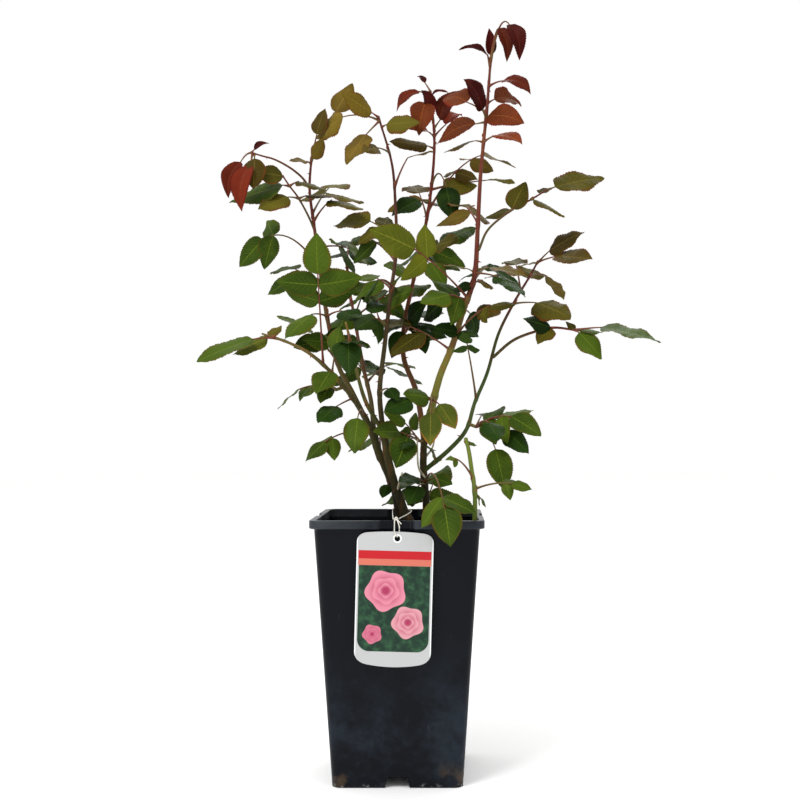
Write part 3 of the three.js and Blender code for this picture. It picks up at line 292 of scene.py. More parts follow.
# Leaves seen from the front, by cane: how far up it the leaf stands, where the leaf ends, the
# pairs of leaflets below the end one, the end one's length, the face's tilt, the rib's bow, its
# age, and where they differ the share of the rule's size that its pairs have.
LEAVES = [LeafRow(cane, at, np.array(tip, float), *row) for cane, rows in {
    "tall_right": [
        (0.98, [61, -50, 727], 0, 29, 40, 1.7, Tint.BRONZE),
        (0.99, [119, -66, 711], 0, 38, 60, 2.1, Tint.BRONZE),
        (0.99, [108, -56, 713], 0, 35, 50, 3.0, Tint.BRICK),
        (1.0, [90, -48, 747], 0, 26, 70, 0.0, Tint.BRONZE),
        (0.93, [129, -78, 675], 0, 39, 55, 0.3, Tint.BRICK),
        (0.86, [67, -84, 685], 0, 43, 75, 0.0, Tint.BRONZE),
        (0.87, [42, 14, 695], 0, 43, 70, 0.1, Tint.YOUNG),
        (0.86, [123, -66, 649], 0, 43, 75, 0.25, Tint.YOUNG),
        (0.85, [35, -20, 642], 0, 47, 50, 0.1, Tint.YOUNG),
        (0.89, [128, -8, 684], 0, 43, 65, 0.25, Tint.YOUNG),
        (0.81, [44, -16, 634], 0, 39, 25, 0.2, Tint.BROWN),
        (0.81, [121, -80, 626], 0, 39, 35, 0.3, Tint.YOUNG),
        (0.42, [-20, -104, 540], 1, 51, 75, 0.14, Tint.FRESH, 0.8),
        (0.51, [125, -92, 482], 0, 45, 8, 0.1, Tint.DEEP),
        (0.52, [128, -60, 504], 0, 43, 12, 0.1, Tint.BROWN),
        (0.51, [46, -62, 514], 0, 35, 20, 0.1, Tint.OLIVE),
        (0.47, [52, -30, 490], 0, 25, 50, 0.1, Tint.DEEP),
        (0.41, [23, -70, 475], 1, 39, 60, 0.2, Tint.GREEN),
        (0.39, [20, 24, 465], 0, 39, 65, 0.3, Tint.DEEP),
        (0.47, [95, 20, 499], 0, 27, 50, 0.2, Tint.BROWN),
        (0.37, [81, 10, 446], 0, 31, 60, 0.4, Tint.DEEP),
        (0.28, [114, -70, 472], 1, 28, 35, 0.3, Tint.OLIVE),
        (0.28, [35, -40, 453], 0, 29, 60, 0.1, Tint.DEEP),
        (0.28, [79, -52, 444], 0, 29, 55, 0.4, Tint.DEEP),
        (0.06, [32, -64, 335], 0, 35, 80, 0.5, Tint.HURT),
        (0.06, [57, -46, 352], 0, 37, 60, 0.2, Tint.HURT),
        (0.06, [6, -40, 386], 0, 35, 60, 0.3, Tint.GREEN),
        (0.06, [-12, -56, 370], 0, 35, 55, 0.15, Tint.DEEP),
    ],
    "red_top": [
        (0.98, [-5, 20, 683], 0, 33, 50, 0.7, Tint.BRICK),
        (0.98, [20, -6, 652], 0, 41, 80, 0.5, Tint.YOUNG),
        (0.99, [49, 24, 705], 0, 20, 40, 2.0, Tint.BRONZE),
        (0.93, [25, -4, 696], 0, 33, 75, 0.0, Tint.BRONZE),
        (0.91, [66, 40, 712], 0, 43, 75, 0.0, Tint.BRICK),
        (0.89, [7, 4, 661], 0, 33, 60, 0.2, Tint.YOUNG),
        (0.89, [65, 78, 694], 0, 35, 40, 0.1, Tint.BRICK),
        (1.0, [16, 44, 726], 0, 16, 40, 0.2, Tint.BRONZE),
        (0.86, [-11, 20, 654], 0, 41, 40, 0.1, Tint.BROWN),
        (0.76, [82, 60, 614], 0, 41, 60, 0.1, Tint.OLIVE),
        (0.76, [123, 92, 626], 0, 37, 12, 0.05, Tint.OLIVE),
        (0.7, [126, 96, 642], 2, 45, 30, 0.5, Tint.BROWN, 0.8),
        (0.77, [54, 2, 567], 0, 37, 85, 0.9, Tint.DEEP),
        (0.73, [-9, 10, 575], 0, 39, 55, 0.2, Tint.DEEP),
        (0.59, [59, -10, 545], 0, 36, 60, 0.0, Tint.OLIVE),
        (0.57, [48, 10, 500], 0, 35, 60, 0.3, Tint.GREEN),
        (0.53, [-15, 2, 521], 0, 33, 60, 0.1, Tint.GREEN),
        (0.38, [27, -14, 428], 0, 29, 70, 0.3, Tint.DEEP),
        (0.38, [33, 0, 446], 0, 29, 50, 0.3, Tint.DEEP),
        (0.38, [-9, 8, 424], 0, 31, 70, 0.3, Tint.DEEP),
        (0.38, [25, -6, 482], 0, 37, 60, 0.1, Tint.DEEP),
        (0.38, [-2, -14, 473], 0, 29, 60, 0.1, Tint.DEEP),
    ],
    "centre": [
        (1.0, [-57, -28, 689], 0, 40, 65, 0.0, Tint.GOLD),
        (0.99, [-55, -34, 620], 0, 43, 18, 0.02, Tint.GOLD),
        (0.99, [-96, 48, 662], 0, 44, 62, 0.3, Tint.GOLD),
        (0.97, [19, -16, 664], 0, 37, 65, 0.15, Tint.OLIVE),
        (0.89, [-34, -40, 630], 0, 29, 75, 0.1, Tint.BROWN),
        (0.77, [34, -24, 633], 0, 33, 25, 0.6, Tint.BROWN),
        (0.6, [-74, 34, 570], 1, 47, 50, 0.3, Tint.OLIVE, 0.75),
        (0.54, [-57, 66, 558], 1, 39, 55, 0.2, Tint.GREEN),
        (0.46, [-50, 36, 512], 1, 37, 30, 0.2, Tint.GREEN),
        (0.47, [-37, -42, 477], 0, 31, -30, 0.5, Tint.DEEP),
        (0.45, [12, -50, 514], 0, 37, 50, 0.1, Tint.GREEN),
        (0.35, [-41, -54, 451], 1, 35, 60, 0.2, Tint.DEEP),
        (0.35, [-30, 16, 488], 0, 29, 60, 0.0, Tint.DEEP),
        (0.14, [0, -50, 381], 0, 25, 50, 0.3, Tint.DEEP),
    ],
    "left_tall": [
        (0.98, [-116, 20, 633], 0, 23, 45, 0.1, Tint.BROWN),
        (0.99, [-82, 30, 656], 0, 25, 70, 0.0, Tint.BROWN),
        (1.0, [-83, 36, 691], 0, 29, 40, 0.0, Tint.BROWN),
        (0.99, [-54, 50, 722], 0, 37, 50, 0.0, Tint.GOLD),
        (0.73, [-37, -6, 577], 0, 49, 12, 0.5, Tint.OLIVE),
        (0.56, [-180, 76, 527], 1, 41, 70, 0.7, Tint.GREEN, 1.1),
        (0.63, [-35, 104, 536], 1, 39, 55, 0.2, Tint.GREEN),
        (0.43, [-117, -20, 444], 0, 47, 25, 0.3, Tint.GREEN),
        (0.43, [-39, -22, 462], 0, 37, 40, 0.2, Tint.DEEP),
        (0.34, [-97, -10, 442], 0, 33, 70, 0.2, Tint.GREEN),
        (0.34, [-61, -8, 453], 0, 31, 75, 0.0, Tint.DEEP),
    ],
    "left_arch": [
        (0.88, [-197, -66, 420], 0, 60, 20, 0.12, Tint.GREEN),
        (0.8, [-168, -34, 428], 0, 39, 35, 0.25, Tint.FRESH),
        (0.93, [-119, -24, 456], 0, 21, 40, 0.3, Tint.OLIVE),
        (0.49, [-77, -92, 536], 2, 40, 62, 0.0, Tint.GREEN, 1.22),
        (0.4, [-80, -58, 386], 0, 39, 60, 0.4, Tint.GREEN),
        (0.4, [-58, -62, 449], 0, 35, 62, 0.0, Tint.GREEN),
        (0.3, [-127, -10, 373], 1, 31, 10, 0.35, Tint.GREEN),
        (0.3, [-77, -52, 377], 0, 27, 20, 0.4, Tint.GREEN),
        (0.21, [-76, -70, 360], 0, 38, 50, 0.05, Tint.DEEP),
        (0.08, [-43, -64, 329], 0, 39, 80, 0.6, Tint.GREEN),
    ],
    "main_stem": [
        (0.94, [-93, -46, 319], 1, 29, 35, 0.3, Tint.GREEN),
        (0.49, [-17, -22, 281], 0, 19, 60, 0.2, Tint.DEEP),
    ],
    "inner_left": [
        (0.75, [-45, -92, 437], 0, 35, 75, 0.3, Tint.DEEP),
        (0.83, [-58, -86, 420], 0, 31, 65, 0.3, Tint.DEEP),
        (0.89, [-45, -98, 405], 0, 37, 72, 0.3, Tint.DEEP),
    ],
    "inner_mid": [
        (0.6, [12, -10, 494], 0, 47, 60, 0.15, Tint.GREEN),
        (0.74, [-90, 96, 535], 1, 39, 50, 0.2, Tint.GREEN),
        (0.79, [-36, 112, 494], 1, 35, 40, 0.2, Tint.DEEP),
    ],
    "second_stem": [
        (0.75, [-1, -60, 314], 0, 41, 72, 0.5, Tint.GREEN),
        (0.75, [-13, -24, 369], 1, 27, 50, 0.2, Tint.GREEN),
        (0.75, [4, -52, 332], 0, 25, 40, 0.2, Tint.DEEP),
        (0.75, [-24, -46, 348], 0, 35, 65, 0.15, Tint.GREEN),
        (0.43, [52, -128, 243], 1, 43, 75, 0.45, Tint.GREEN),
        (0.43, [1, -34, 300], 0, 31, 50, 0.25, Tint.DEEP),
        (0.43, [11, -44, 277], 0, 31, 60, 0.2, Tint.DEEP),
        (0.43, [53, -26, 295], 0, 25, 70, 0.3, Tint.GREEN),
    ],
    "right_slender": [
        (0.74, [170, -46, 465], 0, 51, 45, 0.12, Tint.OLIVE),
        (0.74, [80, -40, 463], 0, 35, 40, 0.1, Tint.BROWN),
        (0.88, [176, 64, 491], 0, 37, 20, 0.4, Tint.BROWN),
        (0.98, [185, -10, 555], 0, 43, 50, 0.1, Tint.BROWN),
        (0.99, [192, -38, 523], 0, 49, 45, 0.1, Tint.BROWN),
        (0.98, [124, 44, 526], 0, 29, 20, 0.2, Tint.OLIVE),
        (0.39, [65, -70, 446], 1, 19, 15, 0.1, Tint.DEEP),
        (0.28, [141, -56, 346], 2, 39, 45, 0.35, Tint.GREEN),
        (0.28, [130, -50, 329], 0, 35, 60, 0.25, Tint.DEEP),
        (0.28, [99, -78, 341], 0, 35, 40, 0.3, Tint.DEEP),
        (0.28, [92, 34, 368], 0, 25, 50, 0.2, Tint.DEEP),
        (0.28, [108, -30, 288], 0, 43, 30, 0.55, Tint.GREEN),
        (0.06, [31, -20, 333], 1, 14, 50, 0.2, Tint.GREEN),
    ],
    "water_shoot": [
        (0.52, [47, -66, 321], 1, 11, 45, 0.4, Tint.GREEN),
        (0.42, [131, -70, 292], 1, 21, 45, 0.2, Tint.GREEN),
        (0.39, [89, -38, 272], 1, 12, 30, 0.1, Tint.GREEN),
        (0.91, [79, -34, 334], 0, 11, 40, 0.2, Tint.GREEN),
    ],
    "left_twig": [
        (0.98, [-163, -2, 574], 0, 49, 45, 0.0, Tint.BRICK),
        (0.98, [-178, 6, 589], 0, 39, 60, 0.5, Tint.BRICK),
        (0.94, [-150, -6, 597], 0, 35, 72, 0.1, Tint.BROWN),
        (1.0, [-136, 8, 647], 0, 17, 60, 0.3, Tint.BRONZE),
    ],
    "left_side_twig": [
        (1.0, [-158, 8, 619], 0, 41, 62, 0.05, Tint.OLIVE),
        (0.75, [-182, 26, 590], 0, 60, 35, 0.2, Tint.GREEN),
        (0.75, [-75, 0, 598], 0, 39, 12, 0.3, Tint.OLIVE),
        (0.5, [-146, 0, 578], 0, 39, 50, 0.2, Tint.OLIVE),
        (0.5, [-60, 10, 594], 0, 43, 10, 0.15, Tint.BROWN),
    ],
    "right_side_twig": [
        (1.0, [213, 14, 617], 0, 60, 42, 0.03, Tint.OLIVE),
        (0.75, [169, -26, 568], 0, 37, 14, 0.2, Tint.OLIVE),
        (0.75, [156, 10, 601], 0, 21, 20, 0.0, Tint.OLIVE),
        (0.5, [128, -20, 602], 0, 34, 78, 0.0, Tint.OLIVE),
        (0.5, [86, -16, 566], 0, 28, 35, 0.15, Tint.OLIVE),
    ],
    "right_arch": [
        (1.0, [257, -72, 440], 0, 63, 16, 0.12, Tint.GREEN),
        (1.0, [202, -52, 422], 0, 36, 62, 0.1, Tint.GREEN),
        (1.0, [206, -24, 451], 0, 29, 15, 0.1, Tint.GREEN),
        (1.0, [168, -30, 459], 0, 13, 50, 0.0, Tint.OLIVE),
        (0.72, [126, -40, 462], 0, 33, 60, 0.1, Tint.DEEP),
        (0.72, [138, -44, 436], 0, 29, 50, 0.2, Tint.OLIVE),
    ],
}.items() for at, tip, *row in rows]

# Sprays that the front hides: the cane, how far up it they stand, their compass bearing from +X
# towards the back, and their leaves.
REAR_SPRAYS = [RearSpray(*row) for row in (
    ("main_stem", 0.72, 100, 1), ("second_stem", 0.3, 105, 2), ("tall_right", 0.23, 160, 1),
    ("tall_right", 0.48, 80, 1), ("tall_right", 0.64, 110, 1), ("red_top", 0.34, 80, 2),
    ("red_top", 0.54, 60, 2), ("red_top", 0.68, 110, 1), ("left_tall", 0.29, 125, 2),
    ("left_tall", 0.5, 125, 1), ("left_tall", 0.76, 60, 1), ("inner_mid", 0.3, 100, 2),
    ("inner_mid", 0.66, 60, 2), ("inner_mid", 0.9, 90, 1), ("right_slender", 0.8, 95, 1),
)]


# Shader maths

# What a mesh's map and its varying number are called
MAP, TONE = "skin", "tone"


def colour(code: str) -> tuple[float, float, float, float]:
    """Returns the linear colour of an sRGB code such as #2f5a26."""
    parts = [int(code[k : k + 2], 16) / 255 for k in (1, 3, 5)]
    linear = [p / 12.92 if p <= 0.04045 else ((p + 0.055) / 1.055) ** 2.4 for p in parts]
    return (*linear, 1.0)


class Value:
    """A number that varies over a surface: Python's operators on it add Math nodes."""

    def __init__(self, graph: "Graph", socket: bpy.types.NodeSocket) -> None:
        """Wraps an output socket of a graph."""
        self.graph = graph
        self.socket = socket

    def maths(self, operation: str, *numbers: "Value | float") -> "Value":
        """Returns the value of a Math node on these numbers."""
        made = self.graph.node("ShaderNodeMath", {"operation": operation}, dict(enumerate(numbers)))
        return Value(self.graph, made.outputs[0])

    def __add__(self, other: "Value | float") -> "Value":
        """Adds."""
        return self.maths("ADD", self, other)

    def __mul__(self, other: "Value | float") -> "Value":
        """Multiplies."""
        return self.maths("MULTIPLY", self, other)

    def __sub__(self, other: "Value | float") -> "Value":
        """Takes another value away from this one."""
        return self.maths("SUBTRACT", self, other)

    def __rsub__(self, other: float) -> "Value":
        """Takes this value away from a number."""
        return self.maths("SUBTRACT", other, self)

    def __truediv__(self, other: "Value | float") -> "Value":
        """Divides."""
        return self.maths("DIVIDE", self, other)

    def __pow__(self, other: "Value | float") -> "Value":
        """Raises to a power."""
        return self.maths("POWER", self, other)

    def __abs__(self) -> "Value":
        """Drops the sign."""
        return self.maths("ABSOLUTE", self)

    def positive(self) -> "Value":
        """Returns it, or 0 where it is below 0."""
        return self.maths("MAXIMUM", self, 0.0)

    def fraction(self) -> "Value":
        """Returns what is left above the whole number below."""
        return self.maths("FRACT", self)

    def sine(self) -> "Value":
        """Returns the sine, of radians."""
        return self.maths("SINE", self)

    def bearing(self, across: "Value") -> "Value":
        """Returns the angle, in radians, of the place this far up and so far across."""
        return self.maths("ARCTAN2", self, across)

    def smooth(self, low: float, high: float) -> "Value":
        """Makes a smooth step.

        Args:
            low: Where the step begins, with 0 on that side of it.
            high: Where it ends, with 1 on that side; it may be the lower number.

        Returns:
            The step's value.
        """
        limits = (low, high, 0.0, 1.0) if low < high else (high, low, 1.0, 0.0)
        wiring = dict(enumerate((self, *limits)))
        settings = {"interpolation_type": "SMOOTHSTEP"}
        made = self.graph.node("ShaderNodeMapRange", settings, wiring)
        return Value(self.graph, made.outputs[0])


# A colour: its code, or the socket that it comes from
Paint = "bpy.types.NodeSocket | str"


class Graph:
    """A material's nodes, with one method that makes any node."""

    def __init__(self, name: str) -> None:
        """Makes an empty material of that name with a Principled shader."""
        self.material = bpy.data.materials.new(name)
        self.material.use_nodes = True
        self.tree = self.material.node_tree
        self.shader = self.tree.nodes["Principled BSDF"]

    def wire(self, node: bpy.types.Node, wiring: dict) -> None:
        """Sets a node's inputs.

        Args:
            node: The node.
            wiring: What each input, by name or place, gets: a socket, a value, a number, or a
                colour's code.
        """
        for key, thing in wiring.items():
            source = thing.socket if isinstance(thing, Value) else thing
            source = colour(source) if isinstance(source, str) else source
            if isinstance(source, bpy.types.NodeSocket):
                self.tree.links.new(source, node.inputs[key])
            else:
                node.inputs[key].default_value = source

    def node(
        self, kind: str, settings: dict | None = None, wiring: dict | None = None
    ) -> bpy.types.Node:
        """Makes a node.

        Args:
            kind: Blender's name of the node's type.
            settings: The node's own properties, set first.
            wiring: What its inputs get.

        Returns:
            The node.
        """
        made = self.tree.nodes.new(kind)
        for key, setting in (settings or {}).items():
            setattr(made, key, setting)
        self.wire(made, wiring or {})
        return made

    def place(self) -> bpy.types.NodeSocket:
        """Returns the Object coordinates, in metres."""
        return self.node("ShaderNodeTexCoord").outputs["Object"]

    def axes(self, vector: bpy.types.NodeSocket) -> tuple[Value, Value, Value]:
        """Returns a vector's three numbers."""
        made = self.node("ShaderNodeSeparateXYZ", wiring={0: vector})
        return tuple(Value(self, out) for out in made.outputs[:3])

    def unwrap(self) -> tuple[Value, Value]:
        """Returns the two coordinates of the mesh's map."""
        made = self.node("ShaderNodeUVMap", {"uv_map": MAP})
        return self.axes(made.outputs[0])[:2]

    def tone(self) -> Value:
        """Returns the number from 0 to 1 that the mesh keeps at each point."""
        made = self.node("ShaderNodeAttribute", {"attribute_name": TONE})
        return Value(self, made.outputs["Fac"])

    def vector(self, x: Value | float, y: Value | float, z: Value | float) -> bpy.types.NodeSocket:
        """Returns three numbers as a vector."""
        return self.node("ShaderNodeCombineXYZ", wiring={0: x, 1: y, 2: z}).outputs[0]

    def noise(
        self, where: bpy.types.NodeSocket, scale: float, detail: float = 3.0, rough: float = 0.55
    ) -> Value:
        """Returns cloudy noise around a half.

        Args:
            where: The coordinates it is read at.
            scale: How many clouds fit in a unit of the coordinates.
            detail: How many finer layers it has.
            rough: How strong the finer layers are.
        """
        wiring = {"Vector": where, "Scale": scale, "Detail": detail, "Roughness": rough}
        return Value(self, self.node("ShaderNodeTexNoise", wiring=wiring).outputs["Fac"])

    def cells(self, where: bpy.types.NodeSocket, scale: float, feature: str = "F1") -> Value:
        """Returns the distance in a Voronoi pattern.

        Args:
            where: The coordinates it is read at.
            scale: How many cells fit in a unit of the coordinates.
            feature: What the distance is to: the nearest point, or the cell's edge.
        """
        wiring = {"Vector": where, "Scale": scale}
        made = self.node("ShaderNodeTexVoronoi", {"feature": feature}, wiring)
        return Value(self, made.outputs["Distance"])

    def mix(self, share: Value | float, below: Paint, above: Paint) -> bpy.types.NodeSocket:
        """Returns below where the share is 0 and above where it is 1, for colours.

        Args:
            share: The share.
            below: The one colour.
            above: The other colour.
        """
        wiring = {0: share, 6: below, 7: above}
        return self.node("ShaderNodeMix", {"data_type": "RGBA"}, wiring).outputs[2]

    def bump(self, height: Value, distance: float, strength: float) -> None:
        """Makes the surface look raised.

        Args:
            height: The height, from 0 to 1.
            distance: What a height of 1 stands for, in metres.
            strength: How much of it shows.
        """
        wiring = {"Strength": strength, "Distance": distance, "Height": height}
        made = self.node("ShaderNodeBump", wiring=wiring)
        self.wire(self.shader, {"Normal": made.outputs[0]})

    def finish(
        self, paint: Paint, rough: Value | float, specular: float = 0.5
    ) -> bpy.types.Material:
        """Sets the shader's main inputs.

        Args:
            paint: The base colour.
            rough: The roughness.
            specular: The level of its mirror-like shine.

        Returns:
            The material.
        """
        wiring = {"Base Color": paint, "Roughness": rough, "Specular IOR Level": specular}
        self.wire(self.shader, wiring)
        return self.material


# Meshes from arrays


def to_frame(points: Array) -> Array:
    """Returns pot-centred millimetres as metres in the shared frame."""
    low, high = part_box("pot")
    middle = np.array([(low.x + high.x) / 2, (low.y + high.y) / 2, 0.0])
    return np.asarray(points, float) * MM + middle


def placed(name: str, thing: bpy.types.ID) -> bpy.types.Object:
    """Returns a new object at the scene's origin that shows a mesh, lamp or camera."""
    made = bpy.data.objects.new(name, thing)
    bpy.context.scene.collection.objects.link(made)
    return made


@dataclass
class Skin:
    """A mesh in the making: its points, its faces by number of corners, and what goes with them."""

    points: list[Array] = field(default_factory=list)
    quads: list[Array] = field(default_factory=list)
    triangles: list[Array] = field(default_factory=list)
    quad_slots: list[Array] = field(default_factory=list)
    triangle_slots: list[Array] = field(default_factory=list)
    maps: list[Array] = field(default_factory=list)
    tones: list[Array] = field(default_factory=list)
    edges: list[Array] = field(default_factory=list)
    count: int = 0

    def add(
        self, points: Array, quads: Array, triangles: Array, chart: Array | None = None,
        tone: float | Array = 0.5, slots: tuple[Array, Array] | None = None,
        edge: Array | None = None,
    ) -> None:
        """Adds one closed surface, or several of one layout.

        Args:
            points: Its points, as rows of three.
            quads: Its four-cornered faces, as rows of point numbers.
            triangles: Its three-cornered faces.
            chart: Two map coordinates for each point.
            tone: A number from 0 to 1 that its material varies with.
            slots: The material's place for each quad and each triangle.
            edge: True for points on a sharp edge.
        """
        size = len(points)
        self.points.append(points)
        self.quads.append(quads + self.count)
        self.triangles.append(triangles + self.count)
        four, three = slots or (np.zeros(len(quads), int), np.zeros(len(triangles), int))
        self.quad_slots.append(four)
        self.triangle_slots.append(three)
        self.maps.append(np.zeros((size, 2)) if chart is None else chart)
        self.tones.append(np.broadcast_to(tone, size))
        self.edges.append(np.zeros(size, bool) if edge is None else edge)
        self.count += size

    def build(self, name: str, materials: list[bpy.types.Material]) -> bpy.types.Object:
        """Makes the object, smooth-shaded but sharp where two edge points meet.

        Args:
            name: The object's name.
            materials: Its materials, in the slots' order.

        Returns:
            The object, at the origin, with its map and its tone.
        """
        points = to_frame(np.vstack(self.points))
        quads, triangles = np.vstack(self.quads), np.vstack(self.triangles)
        corners = np.concatenate([quads.ravel(), triangles.ravel()]).astype(np.int32)
        later = 4 * len(quads) + np.arange(len(triangles)) * 3
        starts = np.concatenate([np.arange(len(quads)) * 4, later])
        mesh = bpy.data.meshes.new(name)
        mesh.vertices.add(len(points))
        mesh.vertices.foreach_set("co", points.astype(np.float32).ravel())
        mesh.loops.add(len(corners))
        mesh.loops.foreach_set("vertex_index", corners)
        mesh.polygons.add(len(starts))
        mesh.polygons.foreach_set("loop_start", starts.astype(np.int32))
        slots = np.concatenate(self.quad_slots + self.triangle_slots)
        mesh.polygons.foreach_set("material_index", slots.astype(np.int32))
        mesh.polygons.foreach_set("use_smooth", np.ones(len(starts), bool))
        mesh.update(calc_edges=True)
        chart = np.vstack(self.maps)[corners]
        mesh.uv_layers.new(name=MAP).data.foreach_set("uv", chart.astype(np.float32).ravel())
        tone = mesh.attributes.new(TONE, "FLOAT", "POINT")
        tone.data.foreach_set("value", np.concatenate(self.tones).astype(np.float32))
        ends = np.zeros(2 * len(mesh.edges), np.int32)
        mesh.edges.foreach_get("vertices", ends)
        sharp = np.concatenate(self.edges)[ends.reshape(-1, 2)].all(1)
        mark = mesh.attributes.new("sharp_edge", "BOOLEAN", "EDGE")
        mark.data.foreach_set("value", sharp)
        for material in materials:
            mesh.materials.append(material)
        mesh.validate()
        return placed(name, mesh)


def belt(rings: int, sides: int, closed: bool = False) -> Array:
    """Returns the quads between closed rings of points that are numbered ring by ring.

    Args:
        rings: How many rings there are.
        sides: How many points a ring has.
        closed: Whether the last ring meets the first one too.

    Returns:
        The corners of each quad, by ring and side.
    """
    count = rings if closed else rings - 1
    ring, side = np.meshgrid(np.arange(count), np.arange(sides), indexing="ij")
    here, above, after = ring * sides, (ring + 1) % rings * sides, (side + 1) % sides
    return np.stack([here + side, here + after, above + after, above + side], -1)


def disc(sides: int, radius: float) -> Array:
    """Returns that many points round a level circle about the origin."""
    angle = np.arange(sides) * 2 * math.pi / sides
    return np.stack([np.cos(angle), np.sin(angle), 0 * angle], -1) * radius


def fan(start: int, sides: int, pole: int, flipped: bool = False) -> Array:
    """Returns the triangles between a ring and a pole, as rows of point numbers.

    Args:
        start: The ring's first point.
        sides: How many points it has.
        pole: The pole's point.
        flipped: Whether they face the other way.
    """
    side = np.arange(sides)
    pair = [start + side, start + (side + 1) % sides]
    return np.stack([*(pair[::-1] if flipped else pair), np.full(sides, pole)], -1)


def tube_faces(rings: int, sides: int) -> tuple[Array, Array]:
    """Returns the faces of a closed tube.

    Points are numbered ring by ring, with the foot's pole last but one and the tip's pole last.

    Args:
        rings: How many rings it has.
        sides: How many points a ring has.

    Returns:
        The quads and the triangles.
    """
    size = rings * sides
    ends = [fan(0, sides, size, flipped=True), fan(size - sides, sides, size + 1)]
    return belt(rings, sides).reshape(-1, 4), np.vstack(ends)


def rings_along(centres: Array, headings: Array) -> tuple[Array, Array]:
    """Works out two directions square to a path at each of its points, without sudden turns.

    The first is the one before it, with its share along the new heading taken off.

    Args:
        centres: The path's points.
        headings: The path's direction at each.

    Returns:
        The two directions.
    """
    start = np.array([1.0, 0.0, 0.0]) if abs(headings[0, 0]) < 0.8 else UP
    across = np.empty_like(centres)
    for k, along in enumerate(headings):
        start = square_to(start, along)
        across[k] = start
    return across, np.cross(headings, across)


# How far a tube's rounded ends stand out, as a share of their radius
END_BULGE = 0.4


def tube(
    skin: Skin, path: Array, radius: Array, sides: int, tone: float = 0.5,
    relief: Array | None = None,
) -> None:
    """Adds a tapering round tube with closed, rounded ends.

    A point is the path's place plus radius times relief times the cosine and sine of its angle,
    along two directions square to the path. Its map counts turns, and length in decimetres.

    Args:
        skin: What it is added to.
        path: Its centre line, as rows of three, in millimetres.
        radius: Its radius at each row.
        sides: How many points go round it.
        tone: The number that its material varies with.
        relief: A factor for each row and side.
    """
    headings = unit(np.gradient(path, axis=0))
    across, third = rings_along(path, headings)
    angle = np.arange(sides) * 2 * math.pi / sides
    cosine, sine = (f(angle)[None, :, None] for f in (np.cos, np.sin))
    out = cosine * across[:, None] + sine * third[:, None]
    size = radius[:, None] * (1 if relief is None else relief)
    rings = path[:, None] + out * size[..., None]
    foot = path[0] - headings[0] * radius[0] * END_BULGE
    poles = np.stack([foot, path[-1] + headings[-1] * radius[-1] * END_BULGE])
    steps = np.concatenate([[0], np.cumsum(np.linalg.norm(np.diff(path, axis=0), axis=1))])
    chart = np.stack(np.broadcast_arrays(angle[None] / (2 * math.pi), steps[:, None] / 100), -1)
    ends = np.array([[0.5, steps[0] / 100], [0.5, steps[-1] / 100]])
    quads, triangles = tube_faces(len(path), sides)
    skin.add(np.vstack([rings.reshape(-1, 3), poles]), quads, triangles,
             np.vstack([chart.reshape(-1, 2), ends]), tone)


# Foliage


@dataclass(frozen=True)
class Blade:
    """A leaflet's place: its foot, its direction, its upper side, its length and its leaf's tint."""

    foot: Array
    along: Array
    facing: Array
    length: float
    tint: Tint
    node: str


@dataclass(frozen=True)
class Stalk:
    """A leaf's rib, as far as its end leaflet."""

    bend: Bend
    end: float


# Side veins: how many spacings a blade has, and how far forward they run on their way out
VEINS, VEIN_SLANT = 8, 0.3


